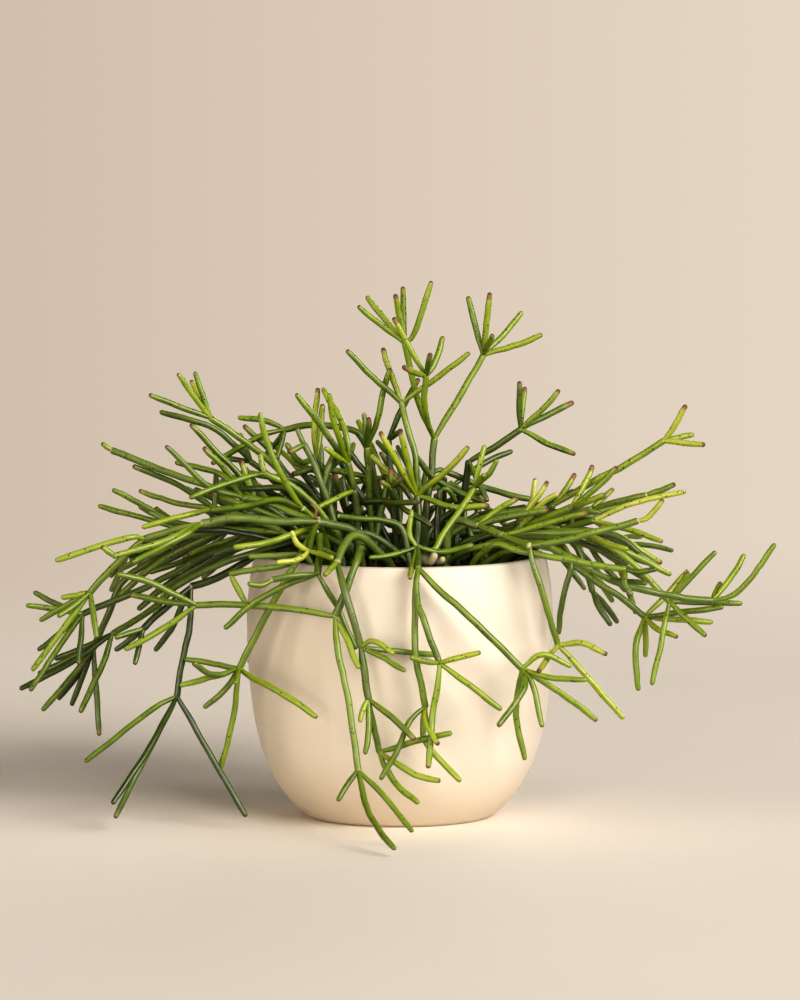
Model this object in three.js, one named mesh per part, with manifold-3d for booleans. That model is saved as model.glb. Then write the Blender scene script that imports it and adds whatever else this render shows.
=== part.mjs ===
// Potted rhipsalis neves-armondii: a round ceramic planter filled with potting mix, with leafy
// stems that stand up in the middle and hang over the rim all round.
// Millimetres, +Z up, the pot standing on z = 0 with its axis on Z, seen from -Y.
import * as THREE from 'three';
import { mergeVertices } from 'three/addons/utils/BufferGeometryUtils.js';
import Module from 'manifold-3d';

const wasm = await Module();
wasm.setup();

// Planter: a flat foot, a bowl whose outline is one curve up to the belly, and a neck that draws
// in to the rim. The two pulls are the handles of the bowl's curve, [radius, height].
const FOOT_RADIUS = 48;
const FOOT_TURN = [50.5, 1.2];
const BOWL_PULL = [69, 16];
const BELLY_PULL = [80.4, 41];
const BELLY_RADIUS = 80.4;
const BELLY_HEIGHT = 104;
const NECK_PULL = 14;
const RIM_RADIUS = 76.8;
const RIM_TOP = 138.5;
const LIP_DROP = 1.8;
const LIP_ROUND = 1.4;
const WALL = 4.6;
const FLOOR = 8;
const POT_SIDES = 40;

// Potting mix, clear of the planter all round
const CLEAR = 0.3;
const SOIL_INSET = WALL + 3 * CLEAR;
const SOIL_RADIUS = 72.4;
const SOIL_EDGE = 130;
const SOIL_TOP = 132;
const SOIL_MOUND = 40;
const SOIL_SIDES = 24;
const HOLE_SIDES = 6;

// Leafy stems
const STEM_SIDES = 5;
const TIP_SIDES = 4;
const STEM_RADII = [1.55, 1.7, 1.85, 2, 2.1];
const ROOT_DEPTH = 12;
const COLLAR_HEIGHT = SOIL_TOP + 3.5;
const KNUCKLE = 1.6;
const SUNK = 0.1;
const BASE_DRAW = 0.6;
const TIP_DRAW = 0.3;

// The stems are placed as seen by an eye in front of the planter: across and up are read where
// the line of sight meets the plane of the pot's axis, and the third value is the true depth.
const EYE_DISTANCE = 3000;
const EYE_HEIGHT = 433;

// Stems keep this far from each other and from the planter, and their roots stand in the soil
const STEM_GAP = 0.6;
const ROOT_GAP = 6.8;
const ROOT_REACH = 58;
const POT_INSIDE = 70;

// Whorls of end shoots that are drawn by rule
const WHORL_SPREAD = 0.85;
const WHORL_TWIST = 0.5;
const WHORL_LENGTH = 30;
const WHORL_VARY = 18;
const WHORL_DROOP = 4;
const TURN = 2 * Math.PI;

// Easing the stems apart: rounds, how near two spans must start to be watched, places looked at
// along a span, and when two spans count as crossing or as parallel
const ROUNDS = 80;
const NEIGHBOUR = 12;
const SPAN_CHECKS = 4;
const CROSSING = 0.05;
const PARALLEL = 0.001;

// Draws between 0 and 1, the same on every run
const FIRST_DRAW = 4171;
const DRAW_FACTOR = 16807;
const DRAW_PRIME = 2147483647;

// Points closer than this are one corner
const WELD = 1e-4;

// Each leafy stem is written from its root outwards. A shoot is a list of points [across, up,
// depth], and after them the shoots that fork from its last point. The first point of a stem is
// its root [across, depth] in the soil. A number stands for a whorl of that many end shoots.
const STEMS = {
  "crown_tall": [[12, -5], [13.5, 158, -4], [15, 170, -2], [16.5, 180, 0], [18, 198, 2],
    [[11, 214, 0], [7, 228, -4], [2.5, 248, -8],
      [[-22, 268, -18]], [[-17.5, 273, 8]], [[-2.5, 274, -24]], [[1.5, 278, 6]],
      [[6, 251, -9], [10.5, 262, -12], [16.5, 281, -14]]],
    [[15, 205, -4], [13, 215, -14], [13.5, 231, -22],
      [[-3.5, 262, -26]], [[1.5, 236, -40]], [[16, 243, -34]], [[18, 238, -18], [22.5, 252, -12]]],
    [[43.5, 242, 12],
      [[35.5, 273, 20]], [[47, 275, 6]], [[48.5, 253, 0]], [[64, 265, 22]], [[74.5, 253, 10]]]],
  "crown_front": [[7, -20], [9.5, 150, -16], [9, 168, -12],
    [[9, 175, -12], [8, 190, -11], [5, 200, -9], [1, 217, -6],
      [[-28, 245, -10]], [[-9, 246, 2]], [[36.5, 243.5, -22]]],
    [[25, 182, -24], [36, 194, -32]], [[-10.5, 202, -26]], [[-16, 190, -2]], [[0, 202, -26]]],
  "crown_behind": [[-2, 16], [-4, 170, 14], [-6, 198, 14],
    [[-1, 210, 14], [10, 230, 16]], [[1, 203, 8]]],
  "crown_left": [[-14, 6], [-16, 160, 4], [-16.5, 178, 2], [-17, 193, 0],
    [[-12, 208, -4], [-9, 222, -6], [-5, 235, -8]], [[-19, 212, 2]], [[-16.5, 209.5, -8]]],
  "crown_fork": [[-22, -8], [-22.5, 160, -9], [-24, 171, -10],
    [[-27, 185, -12],
      [[-38, 200, -14], [-45, 210, -16], [-54.5, 222, -18]], [[-34, 205, -24], [-37, 222, -30]],
      [[-27, 195, -14], [-32, 210, -8], [-37, 218, -4], [-40.5, 225, -1]], [[-39.5, 193.5, -22]]],
    [[-34, 166.5, -18], [-46, 160.5, -26]]],
  "crown_slim": [[-34, 12], [-38, 160, 10], [-44, 188, 6],
    [[-45, 200, 4], [-43, 225, 2]], [[-42, 200, 10], [-40.5, 216.5, 12]]],
  "crown_old": [[-30, -16], [-36, 160, -14], [-40, 172, -14], [-45, 185, -13], [-50, 195, -12],
    [[-54, 204, -11]], [[-59, 191, -18]]],
  "crown_arch": [[-12, 30], [-14, 180, 28], [-21, 200, 26], [-30, 204, 26], [-45, 205.5, 25],
    [-60, 203, 24],
    [[-66, 206, 24], [-73, 208, 24], [-85, 209, 24]],
    [[-70, 201, 20], [-80, 196, 18], [-90, 190, 16], [-99, 185, 14]], [[-73, 187, 32]], [[-65, 187, 18]]],
  "crown_cut": [[5, -30], [1, 151, -28], [-10, 155.5, -29], [-20, 156, -31], [-33, 157.5, -32]],
  "crown_bent": [[-30, 2], [-28, 158, 0], [-20, 165, -6], [-10, 165.5, -12], [-2, 165, -17],
    [[4, 160, -22], [10, 156.5, -25], [17, 152, -28]],
    [[-4.5, 172.5, -20], [[-11, 176, -24]], [[-5, 183, -22]], [[1, 178, -26]]]],
  "crown_stub": [[20, -14], [19.5, 155, -13], [21, 171, -12], [[24.5, 172, -12], [29.5, 165, -7]]],

  "front_fountain": [[14, -46], [12, 138.5, -54], [9, 136, -62],
    [[17, 139, -59], [22, 147, -54], [33, 163, -43], [39, 172.5, -36],
      [[42, 185, -36], [44.5, 195, -34]], [[47, 180, -40], [51, 187.5, -43]], [[44.5, 179.5, -46]]],
    [[5, 148, -60], [6.2, 161, -54]],
    [[-4, 137, -66], [-16.5, 135.6, -70]],
    [[22, 138.5, -60], [39, 142.4, -58]],
    [[5.3, 122, -92]],
    [[9.6, 124.8, -84],
      [[9, 114, -92], [12.5, 103, -97], [16, 92, -98], [20.7, 80, -98],
        [[5.3, 83, -108]], [[28, 82, -102], [42.5, 85.6, -104]], [[37, 68, -101], [53.5, 55, -102]],
        [[20, 70, -99], [17.5, 55, -99], [16.5, 40, -101], [14.7, 24, -104]]],
      [[8, 112, -88], [7.8, 95, -92], [9, 78, -94], [13.4, 57, -93],
        [[12, 48, -92], [13.5, 38, -93], [32, 17, -100]],
        [[14, 48, -98], [20.4, 36.5, -106]],
        [[5, 49, -97], [0, 37, -100], [-5, 27, -102], [-10.5, 18, -103]]],
      [[20, 119, -88], [40, 101, -92], [64, 78.6, -90],
        [[75, 80.5, -88], [90, 77.3, -86]], [[80, 74.5, -96], [98.4, 71, -102]],
        [[84, 64.5, -78], [103.7, 49.3, -70]], [[70, 68, -92], [75, 45.8, -96]],
        [[62.5, 68, -86], [61, 52, -84], [65.8, 28.4, -84]], [[65.5, 67, -100], [51.5, 46.2, -112]]]]],
  "front_arch": [[-4, -50], [-12, 138, -56], [-20, 144.5, -62], [-25, 147, -67], [-30, 141, -75],
    [-33, 133.5, -81],
    [[-40, 126, -92]],
    [[-29, 118, -91], [-26, 108, -93], [-23, 97, -93], [-20.5, 88.5, -92],
      [[-14, 91.5, -97], [-3, 84.5, -102]], [[-8, 86.8, -87], [8, 85.2, -84.5], [20, 84.2, -84]],
      [[-8, 82.5, -97], [3, 75.5, -102]],
      [[-16.5, 61, -93],
        [[-19.5, 55, -96], [-21, 48.4, -98]], [[-16.5, 45, -97], [-18.5, 31.4, -100]],
        [[-4, 51, -99], [8, 39, -105]],
        [[-14, 47, -91], [-11, 33, -90],
          [[8, 38.5, -96], [27.4, 43, -100]], [[-3, 27.5, -96], [8, 20.5, -100], [21.4, 17.4, -103]],
          [[-6, 22, -93], [0, 13.5, -97], [10, 5.3, -102]]]]]],
  "front_pale": [[-14, -40], [-14, 139, -50], [-19, 142, -61], [-22.5, 134, -80], [-28, 119, -85],
    [-34, 105, -86],
    [[-50, 107.5, -84], [-70, 110, -78], [-90, 111, -70], [-106.5, 110.5, -62],
      [[-130, 122, -66], [-149, 127, -70]], [[-142, 116, -50]],
      [[-120, 101, -60], [-135, 92, -64], [-145, 87, -66]]],
    [[-33, 90, -92], [-30, 75, -96], [-27, 60, -98], [-22, 23.4, -102],
      [[-28, 15, -108], [-33, 6.6, -112]], [[-10, 11, -112], [6.7, -9.7, -130]],
      [[-18.5, 6, -118], [-12, -7, -138], [-2.6, -19, -154]]],
    [[-28, 93, -91], [-21.5, 77, -99]]],
  "front_dark": [[-38, -36], [-42, 147, -50], [-44, 139, -66], [-43.5, 127.5, -80],
    [[-56, 126, -86], [-67, 124, -88], [[-73, 121, -90], [-80, 122, -92]]],
    [[-60, 121, -80], [-76, 112, -78], [-92.5, 98, -78]],
    [[-38, 118, -80], [-33, 110, -79], [-28, 98, -81], [-23, 87, -83]]],
  "front_left": [[-20, -30], [-24, 149, -36], [-33, 152.5, -41], [-42.5, 154.5, -46],
    [[-47, 146, -54], [-53, 136, -66], [-65, 115, -68], [-84.5, 77, -62],
      [[-95, 79, -56], [-113.5, 82, -52]], [[-100, 72.5, -66], [-116, 68, -68]],
      [[-99, 74, -72], [-109, 80, -80]], [[-86.5, 69, -82]], [[-92, 66, -64], [-103.3, 56, -62]],
      [[-88, 50, -56], [-95.5, 21.4, -52]], [[-64, 65, -84], [-43.5, 51, -92]]],
    [[-46, 147, -56], [-46.5, 138.5, -66],
      [[-54, 143, -71], [-57, 150, -72]], [[-54, 134.5, -74], [-65, 133, -78]],
      [[-40, 136.5, -74], [-35.5, 135.5, -86]]],
    [[-60, 154.5, -48], [-80, 156.3, -49], [-91, 156.3, -50], [-104, 153.5, -52],
      [[-118, 150.5, -54], [-134, 145.5, -55],
        [[-143, 138, -54], [-153, 128, -52], [-162.5, 117.5, -50],
          [[-178, 114.4, -44]], [[-180, 104.5, -60]], [[-193.7, 75.8, -58]], [[-189.3, 102.3, -36]],
          [[-159.5, 93, -62]]],
        [[-140, 146.5, -60], [-160, 141, -64], [-181, 134, -68]]],
      [[-118, 144, -44], [-146.5, 129.5, -34]], [[-112, 148, -64], [-141, 133, -74]],
      [[-125, 144, -70], [-150, 136.5, -80], [[-157, 141.5, -82]]]],
    [[-55, 159, -40], [-68, 164, -36], [-82, 167, -34],
      [[-97, 172, -32], [-120, 180, -30], [-135, 185, -29], [-151, 192, -28], [[-156.5, 196, -28]]],
      [[-101, 173.5, -42], [-113.6, 185.6, -46], [-123, 194.5, -48]],
      [[-94, 179.5, -24], [-107, 183.5, -20], [-118, 186, -18]]]],

  "left_low": [[-42, -20], [-52, 144, -25], [-60, 142, -29], [-72, 139, -34], [-84, 131.5, -37],
    [-97, 124.5, -40],
    [-109.5, 120.5, -42],
    [[-110, 105, -45], [-113, 88, -48], [-117.3, 62.5, -50],
      [[-128, 57, -54], [-166, 27.5, -62]], [[-135, 30, -76], [-151.8, 5, -92]],
      [[-134, 30, -60], [-150.3, -2.5, -68]], [[-100, 32, -54], [-81, -1.7, -60]]],
    [[-122, 110, -50], [-134.7, 98.2, -54], [[-150, 93, -60]], [[-150, 86.5, -48]], [[-139.6, 79, -64]]],
    [[-120, 98, -34], [-129, 86.3, -28]]],
  "left_pale": [[-30, -40], [-44, 141, -52], [-50, 137.5, -58], [-60, 132, -64], [-75, 129.5, -62],
    [-89, 127, -56],
    [[-80.5, 111, -62]]],
  "left_long": [[-50, 0], [-66, 150, 0], [-90, 142, 0], [-110.5, 132.5, -4],
    [[-133, 120, -8], [-150, 113, -12], [-166.4, 106, -16],
      [[-192.5, 117.5, -8]], [[-196.5, 110.5, -24]], [[-183, 83, -22], [-194.7, 65, -28]],
      [[-182, 93, -12], [-190.5, 86.7, -6]], [[-169, 79, -28]]]],
  "left_shiny": [[-47, 14], [-62, 148, 15], [-85, 140, 16], [-110.5, 127, 14],
    [[-127, 111, 12], [-140, 102, 10], [-151, 95.5, 8],
      [[-200.2, 66, -4]], [[-190.5, 74, 10]], [[-181.6, 82, 24]], [[-156, 80, 4], [-168.4, 53.5, -2]]]],
  "left_dark": [[-38, 26], [-64, 153, 28], [-98, 149, 31], [-120, 140, 31],
    [[-145, 123.6, 29], [-154, 104, 27], [-161, 88, 25],
      [[-158.4, 41.3, 22]], [[-188.4, 54.6, 16]], [[-173, 57.3, 30]], [[-180, 60.5, 38]]]],
  "left_high": [[-32, 18], [-40, 158, 16], [-48, 168, 14],
    [[-60, 178, 12], [-70, 188, 9], [-80, 196, 6], [-99, 209, 3],
      [[-116.5, 232.5, -6]], [[-109.5, 229, 14]], [[-107.5, 233.5, 2]], [[-131.5, 221.5, -4]]],
    [[-60, 181, 20], [-68, 192, 22], [-82, 206, 24]]],
  "left_back": [[-26, 38], [-50, 160, 36], [-66, 177, 35], [-78, 186, 34],
    [[-87, 195, 32], [-100, 205, 30], [-126, 212.5, 28]], [[-99, 190, 44]], [[-84, 201, 46]]],
  "left_mid": [[-42, -4], [-56, 152, -6], [-66, 160, -9], [-76, 167, -12],
    [[-85, 180, -14], [-95, 190, -15], [-103, 199, -16], [-110, 206, -17]],
    [[-84, 171, -18], [-92, 182, -22], [-97, 188, -24], [-103, 194, -25]], [[-80.5, 178, -4],
     [-83, 187, -2]]],
  "left_flat": [[-46, -30], [-60, 150, -24], [-80, 157, -22], [-97, 161.5, -22],
    [[-118, 175, -25], [-140, 184.5, -28]], [[-112, 163.5, -14], [-125, 167, -11], [-137, 171, -8]],
    [[-112, 158, -32], [-135.5, 151.5, -38]], [[-96.5, 180, -16]]],
  "left_reach": [[-52, 8], [-70, 152, 7], [-95, 149, 7], [-112, 150, 6],
    [[-123, 157, 3], [-140, 166, 0], [-151, 171.5, -2]], [[-140, 158, 12], [-158.5, 163, 16]],
    [[-122, 155, 16], [-137, 163, 24]], [[-128.5, 162, -8]]],
  "left_bright": [[-26, -22], [-42, 160, -28], [-56, 173, -33], [-71, 180, -37],
    [[-90, 175, -44], [-110.5, 167, -52]], [[-74, 191, -34]]],
  "left_young": [[-36, -28], [-42, 152, -34], [-51, 161, -40],
    [[-59, 173, -45], [-65, 185, -48], [-70, 198, -49], [-73.5, 212, -50]]],

  "right_crown": [[30, 2], [30, 160, 3], [34, 172, 2], [36, 186, 0],
    [[50, 194, -4], [63, 203, -8],
      [[62.5, 228.5, -14]], [[65.5, 225.5, 4]], [[83.5, 224, -16]], [[91, 217.5, 0]], [[92, 190, -14]]],
    [[41, 176, -8], [46, 165, -13]]],
  "right_high": [[50, 10], [60, 150, 6], [70, 156, 3], [80, 163, 0],
    [[95, 172, -2], [105, 178, -4], [115, 182.5, -5], [138, 197, -8],
      [[150, 216, -14]], [[154, 200.5, 2]], [[160, 195, -18]]],
    [[92, 180, 10]]],
  "right_pair": [[44, -8], [60, 148, -12], [75, 156, -15], [90, 162.5, -18],
    [[100, 170, -20], [108, 177, -22], [114, 183.5, -24]], [[97, 175, -13], [101, 184.5, -9]],
    [[98, 165, -26], [107.5, 169, -32]]],
  "right_near": [[46, -28], [56, 145, -31], [63, 152, -33],
    [[68, 162, -35], [74, 170, -37], [77.5, 176, -38]], [[69.5, 166, -27], [71, 177.5, -25]],
    [[76, 165.5, -42], [83, 169.5, -46]]],
  "right_chain": [[24, -32], [28, 154.5, -35], [40.5, 152.5, -39],
    [[47, 150, -45], [53.5, 147.5, -51],
      [[75, 153, -58], [90, 157.5, -63], [99, 160, -66]],
      [[61, 144, -58], [68, 141, -65],
        [[85, 144.5, -67], [97, 148, -68], [110, 151, -66], [124.5, 155, -64],
          [[129, 156, -64], [134, 161, -64], [138, 166.5, -63]]],
        [[70, 132, -68], [74, 120, -69], [79, 103, -66], [83, 90.6, -62],
          [[96, 90.5, -66], [109, 84.4, -70]], [[100, 71, -60], [117.8, 50.3, -58]],
          [[72.4, 75, -100]]]]],
    [[50, 160, -36], [62, 167, -34]]],
  "right_inner": [[60, -12], [84, 137.5, -34], [89.7, 131.5, -42], [87, 120, -43], [84, 105, -42],
    [83.3, 95, -41]],
  "right_ring": [[52, 22], [70, 152, 19], [85, 157, 16], [100, 161, 14],
    [[120, 166.5, 12], [129, 168.5, 11], [[144.5, 174.5, 9]]], [[112, 172, 24]]],
  "right_wide": [[54, 2], [75, 147, -4], [90, 152, -8], [101, 155, -12],
    [[115, 161.5, -15], [130, 166.5, -18], [150, 170.5, -22]], [[120, 150.5, -20], [138, 144, -28]],
    [[115, 147, -4], [137.5, 132.5, 4]]],
  "right_long": [[54, -20], [75, 148, -27], [97, 149, -32],
    [[106, 144, -33], [118, 136, -35], [130, 125, -36], [141.5, 112.5, -37],
      [[150, 122, -34], [166, 139, -30]], [[151.5, 128, -48]], [[150, 104, -40], [161, 94, -46]],
      [[139, 100, -42], [132.5, 68.2, -48]], [[152, 111, -32], [180, 111, -28]]],
    [[118, 139, -24], [142.5, 126.5, -18]], [[108, 143, -42], [120, 140, -48]]],
  "right_swept": [[46, -42], [72, 143, -52], [88, 136, -54], [100, 129.5, -54],
    [[110, 124, -54], [120, 120.5, -54], [137, 116.5, -53], [150, 114, -52], [164, 113, -50],
      [[175, 127, -44], [181, 137.5, -40]], [[173, 115, -53], [180, 120, -55], [188, 130, -57],
       [197, 143, -58]],
      [[168.5, 122.5, -38]]]],
  "right_drop": [[57, -4], [74, 143, -9], [90, 132, -15], [100, 125, -17], [115, 115.5, -19],
    [128.5, 104.5, -21],
    [[145, 103, -18], [164.5, 101.5, -14]], [[150, 108, -29], [170, 110.5, -34]],
    [[135, 98, -30], [146, 93.5, -38]], [[139, 115, -12], [151.5, 129, -4]],
    [[124.5, 92, -28], [124, 80, -30], [125.5, 65.2, -31]], [[129, 83, -14]]],
  "right_level": [[38, -46], [50, 142.5, -55], [62, 140.5, -62], [80, 136, -66], [104, 131.5, -66],
    [118, 129.5, -66],
    [[126, 128, -70], [135, 129.5, -73]], [[118, 122, -70], [122, 115.5, -73]]],
  "right_fork": [[58, 14], [80, 148, 6], [91, 143, 0], [96, 133, -2], [101, 118, -3],
    [[105, 109, -6], [111, 99.5, -8]], [[108, 110, 2], [114.5, 101, 6]]],
  "right_thick": [[34, 30], [60, 152, 38], [84, 150, 42], [97, 144.5, 42],
    [[104, 135, 40], [119, 117.5, 38]], [[120, 146, 52]], [[112, 152, 34]]],

  "back_low": [[0, 46], [0, 152, 70], [2, 148, 92],
    [[-6, 128, 112], [-12, 100, 122], 3], [[20, 140, 124], 4], [[-22, 146, 126], 3]],
  "back_left": [[-20, 52], [-34, 154, 76], [-48, 152, 100],
    [[-58, 136, 122], [-56, 112, 134], 3], [[-70, 150, 124], 3]],
  "back_right": [[20, 52], [34, 153, 76], [48, 152, 102],
    [[56, 134, 124], [52, 108, 134], 3], [[72, 148, 122], 3]],
  "back_far_left": [[-42, 40], [-66, 156, 58], [-88, 152, 78],
    [[-110, 140, 96], 3], [[-94, 156, 108], 3]],
  "back_far_right": [[40, 42], [64, 154, 62], [88, 150, 80],
    [[110, 142, 94], 3], [[92, 154, 110], 3]],
  "back_crown": [[8, 34], [9, 162, 46], [10, 172, 60],
    [[-8, 178, 84], 3], [[28, 174, 86], 3]],
  "back_high": [[-16, 42], [-22, 164, 60], [-30, 176, 76],
    [[-46, 174, 100], 3], [[-16, 166, 108], 3]],
};

let draw = FIRST_DRAW;
function random() {
  draw = (draw * DRAW_FACTOR) % DRAW_PRIME;
  return draw / DRAW_PRIME;
}

function placed([across, up, depth]) {
  const t = (EYE_DISTANCE + depth) / EYE_DISTANCE;
  return { x: across * t, y: depth, z: EYE_HEIGHT + (up - EYE_HEIGHT) * t };
}

// Knots are the points of the stems, and spans join them. A knot that forks belongs to every
// shoot there, so they move together.
const knots = [];
const spans = [];

function addKnot(point, stem, root) {
  knots.push({ ...point, stem, root });
  return knots.length - 1;
}

// End shoots that stand round the end of a shoot like the ribs of a half-closed umbrella
function whorl(count, from, to, stem) {
  const a = knots[from];
  const b = knots[to];
  const length = Math.hypot(b.x - a.x, b.y - a.y, b.z - a.z);
  const along = [(b.x - a.x) / length, (b.y - a.y) / length, (b.z - a.z) / length];
  const level = Math.hypot(along[0], along[1]);
  const side = [along[1] / level, -along[0] / level, 0];
  const over = [side[1] * along[2], -side[0] * along[2], side[0] * along[1] - side[1] * along[0]];
  const start = random() * TURN;
  return Array.from({ length: count }, (_, i) => {
    const angle = start + (i * TURN) / count + random() * WHORL_TWIST;
    const size = WHORL_LENGTH + WHORL_VARY * random();
    const out = [0, 1, 2].map((n) => along[n]
      + WHORL_SPREAD * (side[n] * Math.cos(angle) + over[n] * Math.sin(angle)));
    const scale = size / Math.hypot(...out);
    const [x, y, z] = out.map((value) => value * scale);
    const half = addKnot({ x: b.x + x / 2, y: b.y + y / 2, z: b.z + z / 2 }, stem, false);
    const end = addKnot({ x: b.x + x, y: b.y + y, z: b.z + z - WHORL_DROOP }, stem, false);
    return { chain: [to, half, end], forks: [] };
  });
}

function grow(list, stem, from) {
  const points = list.filter((item) => Array.isArray(item) && typeof item[0] === 'number');
  const chain = from === null ? [] : [from];
  for (const point of points) {
    const root = point.length === 2;
    const at = root ? { x: point[0], y: point[1], z: COLLAR_HEIGHT } : placed(point);
    chain.push(addKnot(at, stem, root));
  }
  const end = chain[chain.length - 1];
  const forks = [];
  for (const item of list) {
    if (typeof item === 'number') forks.push(...whorl(item, chain[chain.length - 2], end, stem));
    else if (typeof item[0] !== 'number') forks.push(grow(item, stem, end));
  }
  return { chain, forks };
}

// A shoot is as thick as the number of forks beyond it asks for
function addSpans(shoot, stem) {
  const rank = shoot.forks.length ? 1 + Math.max(...shoot.forks.map((fork) => addSpans(fork, stem))) : 0;
  shoot.radius = STEM_RADII[Math.min(rank, STEM_RADII.length - 1)];
  for (let i = 1; i < shoot.chain.length; i++) {
    spans.push({ a: knots[shoot.chain[i - 1]], b: knots[shoot.chain[i]], stem, radius: shoot.radius });
  }
  return rank;
}

const stems = Object.entries(STEMS).map(([name, list], stem) => {
  const shoot = grow(list, stem, null);
  addSpans(shoot, stem);
  return { name, shoot };
});

function clamp(value) {
  return Math.min(Math.max(value, 0), 1);
}

// The nearest points of two spans: how far along each one they lie, from 0 to 1, and the gap
// from the first to the second
function nearest(p, q) {
  const ux = p.b.x - p.a.x, uy = p.b.y - p.a.y, uz = p.b.z - p.a.z;
  const vx = q.b.x - q.a.x, vy = q.b.y - q.a.y, vz = q.b.z - q.a.z;
  const wx = p.a.x - q.a.x, wy = p.a.y - q.a.y, wz = p.a.z - q.a.z;
  const uu = ux * ux + uy * uy + uz * uz;
  const vv = vx * vx + vy * vy + vz * vz;
  const uv = ux * vx + uy * vy + uz * vz;
  const uw = ux * wx + uy * wy + uz * wz;
  const vw = vx * wx + vy * wy + vz * wz;
  const turn = uu * vv - uv * uv;
  let s = turn > PARALLEL * uu * vv ? clamp((uv * vw - vv * uw) / turn) : 0.5;
  const t = clamp((uv * s + vw) / vv);
  s = clamp((uv * t - uw) / uu);
  const x = vx * t - wx - ux * s;
  const y = vy * t - wy - uy * s;
  const z = vz * t - wz - uz * s;
  return { s, t, x, y, z, distance: Math.sqrt(x * x + y * y + z * z) };
}

function push(knot, dx, dy, dz) {
  knot.x += dx;
  knot.y += dy;
  if (!knot.root) knot.z += dz;
}

// Moves two spans of different stems apart, as far as they are too close. Spans that cross part
// from front to back.
function part(p, q) {
  const { s, t, x, y, z, distance } = nearest(p, q);
  const missing = p.radius + q.radius + STEM_GAP - distance;
  if (missing <= 0) return;
  const step = missing / 2;
  const crossing = distance < CROSSING;
  const dx = crossing ? 0 : (x / distance) * step;
  const dy = crossing ? step : (y / distance) * step;
  const dz = crossing ? 0 : (z / distance) * step;
  push(p.a, -dx * (1 - s), -dy * (1 - s), -dz * (1 - s));
  push(p.b, -dx * s, -dy * s, -dz * s);
  push(q.a, dx * (1 - t), dy * (1 - t), dz * (1 - t));
  push(q.b, dx * t, dy * t, dz * t);
}

// Keeps a span off the planter's wall and rim, off the soil and off the ground
function clearPot(span) {
  for (let i = 0; i <= SPAN_CHECKS; i++) {
    const f = i / SPAN_CHECKS;
    const x = span.a.x + (span.b.x - span.a.x) * f;
    const y = span.a.y + (span.b.y - span.a.y) * f;
    const z = span.a.z + (span.b.z - span.a.z) * f;
    const r = Math.sqrt(x * x + y * y);
    const room = span.radius + STEM_GAP;
    let lift = room - z;
    let out = 0;
    if (r <= POT_INSIDE) lift = SOIL_TOP + room - z;
    else if (r < BELLY_RADIUS + room && z < RIM_TOP + room) {
      if (RIM_TOP + room - z < BELLY_RADIUS + room - r) lift = RIM_TOP + room - z;
      else out = (BELLY_RADIUS + room - r) / r;
    }
    lift = Math.max(lift, 0);
    if (!span.a.root) push(span.a, x * out * (1 - f), y * out * (1 - f), lift * (1 - f));
    push(span.b, x * out * f, y * out * f, lift * f);
  }
}

function keepRoots() {
  const roots = knots.filter((knot) => knot.root);
  for (const [i, p] of roots.entries()) {
    for (const q of roots.slice(i + 1)) {
      const dx = q.x - p.x;
      const dy = q.y - p.y;
      const distance = Math.sqrt(dx * dx + dy * dy);
      if (distance >= ROOT_GAP) continue;
      const step = (ROOT_GAP - distance) / 2 / distance;
      push(p, -dx * step, -dy * step, 0);
      push(q, dx * step, dy * step, 0);
    }
    const r = Math.sqrt(p.x * p.x + p.y * p.y);
    if (r > ROOT_REACH) push(p, (p.x * ROOT_REACH) / r - p.x, (p.y * ROOT_REACH) / r - p.y, 0);
  }
}

// Stems that would touch are eased apart, a little at a time
const pairs = [];
for (const [i, p] of spans.entries()) {
  for (const q of spans.slice(i + 1)) {
    if (p.stem !== q.stem && nearest(p, q).distance < NEIGHBOUR) pairs.push([p, q]);
  }
}
for (let round = 0; round < ROUNDS; round++) {
  for (const [p, q] of pairs) part(p, q);
  for (const span of spans) clearPot(span);
  keepRoots();
}

// A curve whose equal steps land on the given points
class Route extends THREE.Curve {
  constructor(points) {
    super();
    this.points = points;
  }

  getPointAt(u, target = new THREE.Vector3()) {
    return target.copy(this.points[Math.round(u * (this.points.length - 1))]);
  }

  getTangentAt(u, target = new THREE.Vector3()) {
    const i = Math.round(u * (this.points.length - 1));
    const here = this.points[i];
    const before = this.points[Math.max(i - 1, 0)];
    const after = this.points[Math.min(i + 1, this.points.length - 1)];
    const arriving = new THREE.Vector3().subVectors(here, before).normalize();
    const leaving = new THREE.Vector3().subVectors(after, here).normalize();
    return target.addVectors(arriving, leaving).normalize();
  }
}

function polygon(sides, radius) {
  const shape = new THREE.Shape();
  for (let i = 0; i < sides; i++) {
    const angle = (2 * Math.PI * i) / sides;
    if (i === 0) shape.moveTo(radius, 0);
    else shape.lineTo(radius * Math.cos(angle), radius * Math.sin(angle));
  }
  return shape;
}

function solid(geometry) {
  geometry.deleteAttribute('normal');
  geometry.deleteAttribute('uv');
  const merged = mergeVertices(geometry, WELD);
  return new wasm.Manifold(new wasm.Mesh({
    numProp: 3,
    vertProperties: merged.getAttribute('position').array,
    triVerts: new Uint32Array(merged.index.array),
  }));
}

function meshOf(body, name, colour, roughness) {
  const { vertProperties, triVerts } = body.getMesh();
  const geometry = new THREE.BufferGeometry();
  geometry.setAttribute('position', new THREE.BufferAttribute(vertProperties, 3));
  geometry.setIndex(new THREE.BufferAttribute(triVerts, 1));
  geometry.computeVertexNormals();
  const mesh = new THREE.Mesh(geometry, new THREE.MeshStandardMaterial({ color: colour, roughness }));
  mesh.name = name;
  return mesh;
}

// Draws the ring of corners round one end of a rod in towards that end
function drawIn(geometry, end, radius, share) {
  const position = geometry.getAttribute('position');
  const corner = new THREE.Vector3();
  for (let i = 0; i < position.count; i++) {
    corner.fromBufferAttribute(position, i);
    if (corner.distanceTo(end) > radius + WELD) continue;
    corner.lerp(end, share);
    position.setXYZ(i, corner.x, corner.y, corner.z);
  }
}

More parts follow.
